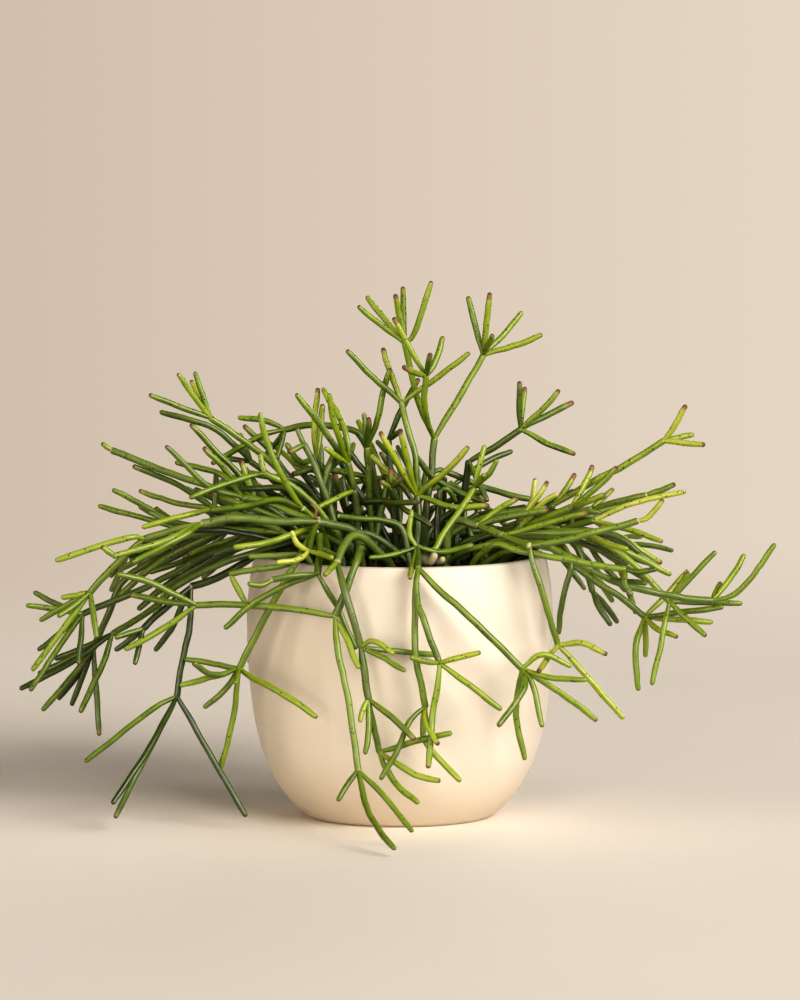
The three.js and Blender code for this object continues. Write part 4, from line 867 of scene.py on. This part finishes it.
# Thicket: the shoots between the crown and the rim. Each springs from the joint or the root nearest
# to its first point. The last ones are drawn where a line of sight from the front or the back still
# finds a gap in the thick of the plant, and all are then eased apart.
FILLERS = (
    [[-36, 166, 8], [-53, 175, 4], [-71, 178, 0], [-84, 180, -2]],
    [[-46, 163, -20], [-60, 170, -24], [-84, 172.5, -26], [-92, 173, -27]],
    [[-50, 162, -35], [-63, 163.5, -38], [-79, 162.7, -40], [-100, 160.5, -42]],
    [[-56, 141, -30], [-78, 147.5, -34], [-100, 150, -38], [-118, 149, -40]],
    [[-60, 144, -15], [-80, 150, -20], [-110, 147.5, -26], [-124, 142, -30]],
    [[-44, 176, 0], [-52, 186, -2], [-60, 196, -4]],
    [[-28, 185, 10], [-44, 181.5, 8], [-57, 179.5, 6]],
    [[-45, 176, -6], [-38, 181, -6], [-28, 190, -4]],
    [[-56, 150, -10], [-72, 160, -14], [-88, 166, -16], [-100, 170, -18]],
    [[-60, 152, 10], [-80, 158, 12], [-96, 166, 12], [-108, 172, 12]],
    [[-50, 156, 20], [-64, 164, 22], [-80, 174, 24], [-92, 180, 24]],
    [[-70, 150, 20], [-90, 152, 22], [-112, 148, 24], [-128, 140, 24]],
    [[-40, 150, -40], [-56, 148, -48], [-72, 143, -54], [-88, 141, -58]],
    [[-62, 140, -40], [-84, 136, -46], [-104, 128, -50], [-122, 118, -52]],
    [[-84, 140, 0], [-104, 132, 2], [-124, 120, 2], [-138, 108, 0]],
    [[-97, 150, 10], [-118, 138, 12], [-136, 126, 12], [-150, 112, 12]],
    [[-80, 156, -10], [-98, 152, -12], [-118, 154, -14], [-132, 160, -14]],
    [[-30, 170, 16], [-38, 178, 18], [-46, 190, 20]],
    [[-20, 150, 10], [-30, 158, 12], [-42, 168, 14], [-52, 182, 14]],
    [[-10, 150, 20], [-16, 162, 22], [-26, 176, 24], [-34, 192, 24]],
    [[-26, 155, 24], [-44, 160, 28], [-60, 168, 30], [-72, 182, 30]],
    [[-10, 135, 10], [-12, 150, 14], [-8, 166, 16], [-4, 182, 16]],
    [[0, 135, 10], [4, 152, 14], [12, 168, 16], [22, 178, 16]],
    [[10, 135, 5], [16, 150, 8], [28, 160, 8], [44, 165, 6]],
    [[20, 135, 0], [28, 148, 2], [42, 156, 0], [60, 160, -2], [76, 160, -4]],
    [[30, 135, -10], [36, 143, -14], [50, 148, -20], [68, 152, -24], [84, 150, -26]],
    [[38, 135, -20], [44, 141, -28], [56, 145, -34], [72, 147, -38], [90, 144, -40]],
    [[24, 135, -32], [34, 139, -42], [46, 142, -48], [62, 144, -52]],
    [[40, 135, -30], [50, 140.5, -40], [64, 143, -46], [80, 140, -48]],
    [[9, 188, 0], [21, 181.5, 2], [43, 172.5, 4], [58, 168.5, 4], [71, 166, 4]],
    [[2, 187, -2], [17, 178, -2], [31, 170, -4], [45, 164.5, -6]],
    [[13, 161, -14], [30, 162, -18], [47, 163, -20]],
    [[40, 152.5, -39], [52, 156, -42], [64, 158.5, -44], [78, 161, -46]],
    [[56, 146, -50], [66, 150, -54], [84, 148.5, -56], [102, 150, -58]],
    [[84, 155, -6], [92, 161.5, -8], [108, 168.5, -10]],
    [[60, 150, 6], [76, 156, 8], [92, 160, 8], [106, 158, 8]],
    [[70, 148, -20], [88, 146, -24], [104, 140, -26], [120, 132, -28]],
    [[74, 142, -10], [90, 136, -12], [104, 124, -14], [112, 112, -14]],
    [[66, 150, 20], [84, 152, 24], [100, 148, 26], [116, 140, 28]],
    [[50, 154, 14], [66, 160, 16], [80, 166, 16], [92, 171, 14]],
    [[90, 150, -10], [106, 148, -14], [122, 140, -16], [136, 130, -18]],
    [[97, 148, -32], [112, 146, -34], [126, 138, -36]],
    [[10, 170, -12], [4, 180, -14], [-3, 192, -16]],
    [[-16, 178, 2], [-24, 188, 4], [-30, 199, 6]],
    [[-40, 172, -14], [-36, 186, -12], [-28, 198, -8]],
    [[-50, 135, 14], [-60, 139, 18], [-72, 143, 20], [-92, 142, 22]],
    [[-46, 135, 30], [-56, 141, 34], [-70, 145, 36], [-90, 150, 38]],
    [[-54, 135, -14], [-64, 140, -18], [-78, 143, -22], [-98, 137, -26]],
    [[-40, 135, 0], [-52, 141, 4], [-68, 147, 6], [-86, 147, 8]],
    [[-34, 135, 40], [-44, 142, 44], [-56, 148, 46], [-70, 156, 46]],
    [[-20, 135, 44], [-22, 143, 48], [-28, 152, 50], [-40, 162, 50]],
    [[-6, 135, 40], [-4, 144, 42], [4, 154, 44], [16, 164, 44]],
    [[14, 135, 40], [18, 144, 44], [26, 152, 46], [40, 158, 48]],
    [[34, 135, 36], [42, 144, 38], [54, 150, 40], [70, 152, 40]],
    [[26, 135, 20], [34, 146, 22], [46, 154, 24], [62, 158, 24]],
    [[0, 135, 30], [14, 140, 36], [30, 144, 40], [50, 146, 44], [70, 147, 44]],
    [[-10, 135, 36], [6, 143, 42], [24, 147, 46], [44, 150, 50]],
    [[30, 135, 30], [22, 142, 40], [10, 148, 46], [-6, 154, 50]],
    [[40, 135, 24], [30, 140, 34], [16, 143, 42], [-4, 146, 48], [-22, 148, 52]],
    [[-20, 135, 34], [-34, 141, 40], [-50, 144, 44], [-68, 146, 46]],
    [[20, 135, 10], [22, 142, 14], [30, 148, 18], [44, 150, 20]],
    [[24, 135, -6], [30, 141, -4], [40, 146, 0], [52, 148, 4]],
    [[36, 135, 10], [28, 146, 12], [22, 158, 14], [18, 170, 16]],
    [[44, 135, 6], [38, 146, 8], [34, 156, 10], [33, 166, 12]],
    [[0, 135, -24], [-6, 142, -26], [-16, 148, -28], [-28, 150, -30]],
    [[-24, 135, -20], [-30, 142, -24], [-42, 146, -30], [-54, 146, -34]],
)
# Withered ends: radius, how corky, how far they are brown, and their points
DRY = (
    (2.1, 0.9, 0, [[14, 138, -54], [16.5, 136.5, -60], [18.5, 140, -62]]),
    (1.8, 0.9, 0, [[14, 138, -54], [19.5, 135, -59], [22.5, 138.5, -61]]),
    (0.8, 0.3, 40, [[-42.5, 154.5, -46], [-44.5, 158, -48], [-44, 161, -49], [-47, 164, -50]]),
)
# The outline of the thick of the plant, [across, up] as the eye sees it
THICK = ((-150, 112), (-158, 122), (-146, 138), (-128, 150), (-112, 154), (-107, 168), (-96, 180),
         (-84, 190), (-72, 183), (-62, 182), (-52, 190), (-46, 200), (-30, 204), (-18, 204), (-6, 201),
         (4, 198), (9, 188), (20, 181), (32, 177), (45, 173), (58, 169), (76, 166), (92, 168),
         (104, 163), (112, 152), (124, 141), (138, 128), (128, 118), (112, 122), (98, 128), (88, 138),
         (76, 142), (40, 136), (0, 135), (-34, 135), (-62, 136), (-84, 136), (-106, 132), (-128, 116))
GAP_CELL = 3.0
LOOKS_PER_CELL = 1.5
TRIES = 12000
GAP_SHARE = 0.42
SIDE_LENGTH = (26, 54)
SIDE_SPREAD = 0.75
SIDE_RISE = 0.12
FROM_SOIL = 0.3
FAR_SIDE = 25
REACH = 96
CLUMP = 30
SETTLING = 24

chance = random.Random(1907)


def seen_at(x, y, z):
    """Where a place seems to be in the plane of the planter's axis, to the eye."""
    t = -EYE.y / MM / (-EYE.y / MM + y)
    return x * t, EYE.z / MM + (z - EYE.z / MM) * t


def in_thick(knot):
    across, up = seen_at(knot.x, knot.y, knot.z)
    inside = False
    for (ax, ay), (bx, by) in zip(THICK, THICK[1:] + THICK[:1]):
        if (ay > up) != (by > up) and across < ax + (up - ay) / (by - ay) * (bx - ax):
            inside = not inside
    return inside


def cells_of(a, b, is_behind):
    """The cells of the view that a span covers, from the front or from behind."""
    distance = math.dist((a.x, a.y, a.z), (b.x, b.y, b.z))
    count = max(1, round(distance / GAP_CELL * LOOKS_PER_CELL))
    for i in range(count + 1):
        f = i / count
        x, y, z = between(a, b, f)
        if not is_behind:
            x, z = seen_at(x, y, z)
        yield math.floor(x / GAP_CELL), math.floor(z / GAP_CELL)


listed = spans[:]
joints = []
for number, stem in enumerate(stems.values()):
    joints.append((number, stem, 0))
    for shoot in with_forks(stem):
        for knot in shoot.chain:
            knot.held = True
        if shoot.forks:
            joints += [(number, shoot, i) for i in range(1, len(shoot.chain))]
sides = {}
added = []


def add_shoot(joint, knots, radius):
    """Lets a shoot spring from a joint, as one more fork or from the side of the shoot there."""
    number, host, i = joint
    made = Shoot([host.chain[i]] + knots, [])
    made.radius = radius
    made.is_filler = True
    if i and i == len(host.chain) - 1:
        host.forks.append(made)
    else:
        sides.setdefault(number, []).append(made)
    for a, b in zip(made.chain, made.chain[1:]):
        added.append((a, b, radius, len(added)))
    return made


def from_nearest(items, radius):
    """A shoot through the given points, from the joint that lies nearest to the first of them."""
    start, *rest = [placed(*item) for item in items]
    joint = min(joints, key=lambda one: (one[1].chain[one[2]].place() - start.place()).length)
    made = add_shoot(joint, rest, radius)
    joints.append((joint[0], made, len(made.chain) - 1))
    return made


for items in FILLERS:
    from_nearest(items, STEM_RADII[1])
for radius, cork, burn, items in DRY:
    made = from_nearest(items, radius)
    made.dry = (cork, burn)
    joints.pop()
covered = {False: set(), True: set()}
for a, b, _, _ in listed + added:
    covered[False].update(cells_of(a, b, False))
    if a.y > FAR_SIDE:
        covered[True].update(cells_of(a, b, True))
for _ in range(TRIES):
    number, host, i = chance.choice(joints)
    if i == 0 and chance.random() > FROM_SOIL:
        continue
    base = host.chain[i]
    along = (base.place() - host.chain[i - 1].place()).normalized() if i else Vector((0, 0, 1))
    astray = Vector((chance.gauss(0, 1), chance.gauss(0, 1), chance.gauss(0, 1))).normalized()
    onward = (along + astray * SIDE_SPREAD + Vector((0, 0, SIDE_RISE))).normalized()
    end = Knot(*(base.place() + onward * chance.uniform(*SIDE_LENGTH)))
    if abs(end.y) > REACH or not in_thick(end) or i and not in_thick(base):
        continue
    if math.hypot(end.x, end.y) < CLUMP and i:
        continue
    is_behind = base.y > FAR_SIDE
    cells = set(cells_of(base, end, is_behind))
    if len(cells - covered[is_behind]) < GAP_SHARE * len(cells):
        continue
    half = Knot(*((base.place() + end.place()) / 2))
    add_shoot((number, host, i), [half, end], STEM_RADII[0 if i else 2])
    covered[is_behind] |= cells

close = []
for i, p in enumerate(added):
    for q in listed + added[i + 1:]:
        if p[0] not in q[:2] and p[1] not in q[:2] and nearest(p[0], p[1], q[0], q[1])[5] < NEIGHBOUR:
            close.append((p, q))
for _ in range(SETTLING):
    for p, q in close:
        part(p, q)
    for a, b, radius, _ in added:
        clear_pot(a, b, radius)


# Shoots: each is a smooth round rod, a little bowed under its own weight, narrow where it springs
# from the last one and blunt at its tip. Dark dots are the tiny areoles that the species has
# instead of spines, and ends that dried are brown.
STEP = 2.4
TUBE_SIDES = 12
ROOT_DEPTH = 10
SAG = 0.028
SAG_SPREAD = (-0.3, 1.2)
LEAN = 0.6
BASE_BEND = 7
WOBBLE = 0.7
WOBBLE_SCALE = 0.07
SHIFTS = (Vector((0, 0, 0)), Vector((37, 0, 0)), Vector((0, 53, 0)))
GIRTHS = (0.95, 1.08)
SWELLS = ((0.06, 0.09), (0.04, 0.17))
CORK_SWELL = 0.08
NECK = 0.58
NECK_LENGTH = 13
NECK_SHAPE = 0.6
NECK_PLACES = (0.8, 1.7)
NECK_CLEAR = 0.3
KNUCKLE = 1.2
TAPER = 0.2
TAPER_LENGTH = 7
TIP_SHARES = (0, 0.4, 0.7, 0.9, 0.99)
TIP_SHAPE = 2.6
TIP_CLEAR = 0.5
CORK_ABOVE = 1.8
CORK_BELOW = 2.1
CORK_SHARES = (0, 0, 0.25, 0.5)
CORK_PASSED_ON = 0.8
# Painted shade: shoots near this heart of the plant, where the stems shade each other, are painted
# darker.
HEART = Vector((4, 10, 138))
HEART_REACH = 85
HEART_SHADE = 0.26
FILLER_YOUTH = 0.35
YOUTH = 0.75
YOUTH_LIMIT = 0.4
TONE_SPREAD = 0.18
TONE_DROP = 0.16
BLOOM_SPREAD = (-0.1, 0.15)
BLOOM_LOST = 0.7
# Places that stand out, [across, up] as the eye sees them
CORKY_JOINTS = ((-42.5, 154.5), (-33, 133.5), (-46.5, 138.5), (68, 141), (40.5, 152.5), (-91, 156.3),
                (-104, 153.5), (-67, 124), (-109.5, 120.5), (94, 147.5), (124.5, 155), (129, 168.5),
                (-151, 192), (-51, 161), (1, 217), (18, 198), (-34, 105), (-22, 23.4))
CUT_ENDS = ((-33, 157.5), (83, 169.5), (-20, 210))
PALE_FORKS = ((-46.5, 138.5), (9, 168), (63, 152), (138, 197), (101, 155), (129, 164))
SPOT_REACH = 3.5
PALER = 0.22
AREOLES = 330
SKIN_RELIEF = 0.1 * MM

skin, shader, paint = finish_of("green_skin", {"Specular IOR Level": 0.75})
cloud = paint.grain(110, 3.0)
fine = paint.grain(900, 2.0)
# Painted light and shade: the green is painted lighter where the skin faces up and darker where it faces
# down.
shade = paint.mark("tone") + (cloud - 0.5) * 0.35 + paint.mark("sunned") * 0.16 - 0.08
green = shade.ramp([(0.0, srgb(34, 46, 6)), (0.3, srgb(73, 92, 11)), (0.55, srgb(121, 141, 17)),
                    (0.8, srgb(164, 173, 54)), (1.0, srgb(194, 194, 104))])
bloom = paint.mark("bloom") * (0.6 + cloud * 0.6)
green = bloom.blend(green, srgb(121, 136, 62))
areole = paint.node("ShaderNodeTexVoronoi", None, {"Vector": paint.place(), "Scale": AREOLES})
green = ((1 - areole.over(0.12, 0.22)) * 0.85).blend(green, srgb(30, 42, 10))
to_tip = paint.mark("to_tip")
dried = paint.mark("burn") - to_tip + (fine - 0.5) * 2.5
pale = dried.over(-4, 0.5) * paint.mark("burn").over(0.2, 2.0)
green = (pale * 0.3).blend(green, srgb(172, 164, 92))
burn = dried.over(-0.6, 1.0)
green = (burn * 0.8).blend(green, srgb(134, 88, 62))
char = burn * (1 - to_tip.over(0.4, 1.8))
green = (char * 0.75).blend(green, srgb(66, 42, 30))
cork = (paint.mark("cork") + (fine - 0.5) * 0.7).over(0.25, 0.75)
wire((cork * 0.85).blend(green, srgb(192, 178, 144)), shader, "Base Color")
wire(0.3 + cloud * 0.08 + burn * 0.3 + cork * 0.4 + bloom * 0.2, shader, "Roughness")
relief(cloud + fine * 0.1, shader, SKIN_RELIEF)

rods = Wiring("green_rods", {"Sides": "NodeSocketInt"})
route = rods.add("GeometryNodeMeshToCurve", None, {"Mesh": rods.given["Geometry"]})
girth = rods.add("GeometryNodeInputNamedAttribute", {"data_type": "FLOAT"}, {"Name": "girth"})
around = rods.add("GeometryNodeCurvePrimitiveCircle", None,
                  {"Resolution": rods.given["Sides"], "Radius": 1.0}, "Curve")
tube = rods.add("GeometryNodeCurveToMesh", None,
                {"Curve": route, "Profile Curve": around, "Scale": girth, "Fill Caps": True})
smooth = rods.add("GeometryNodeSetShadeSmooth", None, {"Geometry": tube})
# How far the skin faces up at each point, stored for the painted light on the tops of the shoots.
facing = rods.add("ShaderNodeSeparateXYZ", None, {0: rods.add("GeometryNodeInputNormal")}, "Z")
sunned = rods.add("GeometryNodeStoreNamedAttribute", {"data_type": "FLOAT", "domain": "POINT"},
                  {"Geometry": smooth, "Name": "sunned", "Value": facing})
rods.close(sunned, skin)


def bowed(points):
    """Two-point shoots sag a little towards the middle, some of them sideways."""
    if len(points) > 2:
        return points
    first, last = points
    chord = last - first
    lean = Vector((chance.uniform(-LEAN, LEAN), chance.uniform(-LEAN, LEAN), -1))
    lean -= chord * lean.dot(chord) / chord.length_squared
    middle = (first + last) / 2 + lean * chord.length * SAG * chance.uniform(*SAG_SPREAD)
    return [first, middle, last]


def routed(points, arriving):
    """Places every few millimetres on a smooth curve through the points."""
    chord = (points[1] - points[0]).normalized()
    tangents = [chord if arriving is None else (chord * BASE_BEND + arriving).normalized()]
    for before, after in zip(points, points[2:]):
        tangents.append((after - before).normalized())
    tangents.append((points[-1] - points[-2]).normalized())
    places = [points[0]]
    for i in range(len(points) - 1):
        a, b = points[i], points[i + 1]
        length = (b - a).length
        leaving, ending = tangents[i] * length, tangents[i + 1] * length
        steps = max(2, round(length / STEP))
        for n in range(1, steps + 1):
            f = n / steps
            place = (a * (2 * f ** 3 - 3 * f ** 2 + 1) + leaving * (f ** 3 - 2 * f ** 2 + f)
                     + b * (3 * f ** 2 - 2 * f ** 3) + ending * (f ** 3 - f ** 2))
            stray = Vector([noise.noise(place * WOBBLE_SCALE + shift) for shift in SHIFTS])
            places.append(place + stray * WOBBLE * math.sin(math.pi * f))
    return places


class Strand:
    """The centre lines of one stem's shoots, with what each point carries."""

    def __init__(self):
        self.verts = []
        self.edges = []
        self.values = {}

    def lay(self, places, radius, shape, looks, corks):
        """Adds one shoot, with a blunt end that is rounded over one radius."""
        is_fork, is_tip = shape
        tone, bloom, burn = looks
        base, end, all_over = corks
        lengths = [0]
        for a, b in zip(places, places[1:]):
            lengths.append(lengths[-1] + (b - a).length)
        total = lengths[-1]
        cut = total - radius
        stations = [(s, p) for s, p in zip(lengths, places) if s < cut - TIP_CLEAR]
        onward = (places[-1] - places[-2]).normalized()
        for share in TIP_SHARES:
            stations.append((cut + radius * share, places[-1] - onward * radius * (1 - share)))
        if is_fork:
            start = stations[0][1]
            ahead = (stations[1][1] - start).normalized()
            extra = [(s, start + ahead * s) for s in NECK_PLACES if s < stations[1][0] - NECK_CLEAR]
            stations[1:1] = extra
        neck = min(NECK_LENGTH, total / 3)
        for n, (s, p) in enumerate(stations):
            narrow = NECK + (1 - NECK) * min(s / neck, 1) ** NECK_SHAPE if is_fork else 1
            narrow -= TAPER * max(0, 1 - (total - s) / TAPER_LENGTH) if is_tip else 0
            rounded = (1 - max(0, (s - cut) / radius) ** TIP_SHAPE) ** 0.5
            cork = max(base * (1 - s / CORK_ABOVE), end * (1 - (total - s) / CORK_BELOW), all_over)
            wave = sum((size * noise.noise(p * pace) for size, pace in SWELLS), 1) + CORK_SWELL * cork
            # Painted shade: the nearer a place lies to the heart of the plant, the darker its tone, for
            # the shade that the stems around it cast.
            old = max(0, 1 - (p - HEART).length / HEART_REACH)
            carried = {"girth": radius * MM * narrow * wave * rounded, "tone": tone - HEART_SHADE * old,
                       "bloom": bloom, "burn": burn, "to_tip": total - s, "cork": cork}
            for label, value in carried.items():
                self.values.setdefault(label, []).append(value)
            self.verts.append(p * MM)
            if n:
                self.edges.append((len(self.verts) - 2, len(self.verts) - 1))

    def mesh(self, name):
        mesh = bpy.data.meshes.new(name)
        mesh.from_pydata(self.verts, self.edges, [])
        for label, values in self.values.items():
            mesh.attributes.new(label, "FLOAT", "POINT").data.foreach_set("value", values)
        return mesh


def is_at(knot, spots):
    seen_here = seen_at(knot.x, knot.y, knot.z)
    return any(math.dist(seen_here, spot) < SPOT_REACH for spot in spots)


def flesh(strand, shoot, arriving, mood, cork_at_base):
    """Lays a shoot, drawn at random within the mood of its stem, and then its forks."""
    points = [knot.place() for knot in shoot.chain]
    if arriving is None:
        points.insert(0, points[0] - Vector((0, 0, ROOT_DEPTH)))
    is_tip = not shoot.forks
    places = routed(bowed(points), arriving)
    onward = (places[-1] - places[-2]).normalized()
    if not is_tip:
        places.append(places[-1] + onward * KNUCKLE)
    tone, bloom, burns = mood
    young = FILLER_YOUTH if shoot.is_filler else max(0, 1 - shoot.rank / 3)
    youth = YOUTH * min(tone, YOUTH_LIMIT) * young
    tone += youth - TONE_DROP + chance.uniform(-TONE_SPREAD, TONE_SPREAD)
    if is_tip and is_at(shoot.chain[0], PALE_FORKS):
        tone += PALER
    bloom = max(0, bloom * (1 - BLOOM_LOST * young) + chance.uniform(*BLOOM_SPREAD))
    burn = chance.choice(burns) if is_tip else 0
    cork = chance.choice(CORK_SHARES) if shoot.forks else 0
    if is_at(shoot.chain[-1], CUT_ENDS if is_tip else CORKY_JOINTS):
        cork = 1.0
    all_over, burn = shoot.dry or (0, burn)
    radius = shoot.radius * chance.uniform(*GIRTHS)
    shape = (arriving is not None, is_tip)
    corks = (cork_at_base * CORK_PASSED_ON, cork, all_over)
    strand.lay(places, radius, shape, (tone, bloom, burn), corks)
    for fork in shoot.forks:
        flesh(strand, fork, onward, mood, cork)


# Of each stem, how pale its skin is and how waxy, and then the stems whose ends are browner
MOODS = {
    "crown_tall": (0.48, 0.5), "crown_front": (0.5, 0.3), "crown_left": (0.48, 0.3),
    "crown_fork": (0.52, 0.2), "crown_slim": (0.5, 0.2), "crown_old": (0.3, 0.8),
    "crown_arch": (0.34, 0.3), "crown_cut": (0.3, 0.8), "crown_bent": (0.4, 0.3),
    "crown_stub": (0.3, 0.1), "front_fountain": (0.46, 0.2), "front_arch": (0.42, 0.5),
    "front_pale": (0.4, 0.6), "front_dark": (0.36, 0.4), "front_left": (0.42, 0.5),
    "left_low": (0.24, 0.1), "left_pale": (0.4, 1.0), "left_long": (0.31, 0.2),
    "left_shiny": (0.26, 0.1), "left_dark": (0.24, 0.2), "left_high": (0.46, 0.3),
    "left_mid": (0.46, 0.3), "left_flat": (0.46, 0.4), "left_reach": (0.38, 0.3),
    "left_bright": (0.52, 0.1), "left_young": (0.56, 0.0), "right_crown": (0.38, 0.3),
    "right_high": (0.5, 0.3), "right_pair": (0.5, 0.3), "right_near": (0.62, 0.2),
    "right_chain": (0.58, 0.5), "right_inner": (0.28, 0.3), "right_ring": (0.54, 0.3),
    "right_wide": (0.48, 0.3), "right_long": (0.42, 0.3), "right_swept": (0.52, 0.3),
    "right_drop": (0.52, 0.3), "right_level": (0.4, 0.4), "right_fork": (0.3, 0.3),
    "right_thick": (0.32, 0.4),
}
ELSEWHERE = (0.36, 0.3)
BROWN_ENDED = ("crown_tall", "crown_front", "crown_behind", "crown_left", "crown_fork", "crown_slim",
               "crown_old", "crown_bent", "left_high", "left_mid", "right_crown", "right_high",
               "right_pair", "right_near", "right_chain", "right_ring", "right_wide", "right_swept")
FEW_BURNT = (0, 0, 0, 0.3, 0.6, 0.9, 1.6)
MANY_BURNT = (0.4, 0.8, 1.2, 1.8, 2.6, 4)

for number, (name, stem) in enumerate(stems.items()):
    strand = Strand()
    mood = (*MOODS.get(name, ELSEWHERE), MANY_BURNT if name in BROWN_ENDED else FEW_BURNT)
    flesh(strand, stem, None, mood, 0)
    for extra in sides.get(number, []):
        along = (extra.chain[1].place() - extra.chain[0].place()).normalized()
        flesh(strand, extra, along, mood, 0)
    green = put("green_" + name, strand.mesh("green_" + name))
    rods.grow(green, {"Sides": TUBE_SIDES})
    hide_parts("stem_" + name)
    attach(green, "root")
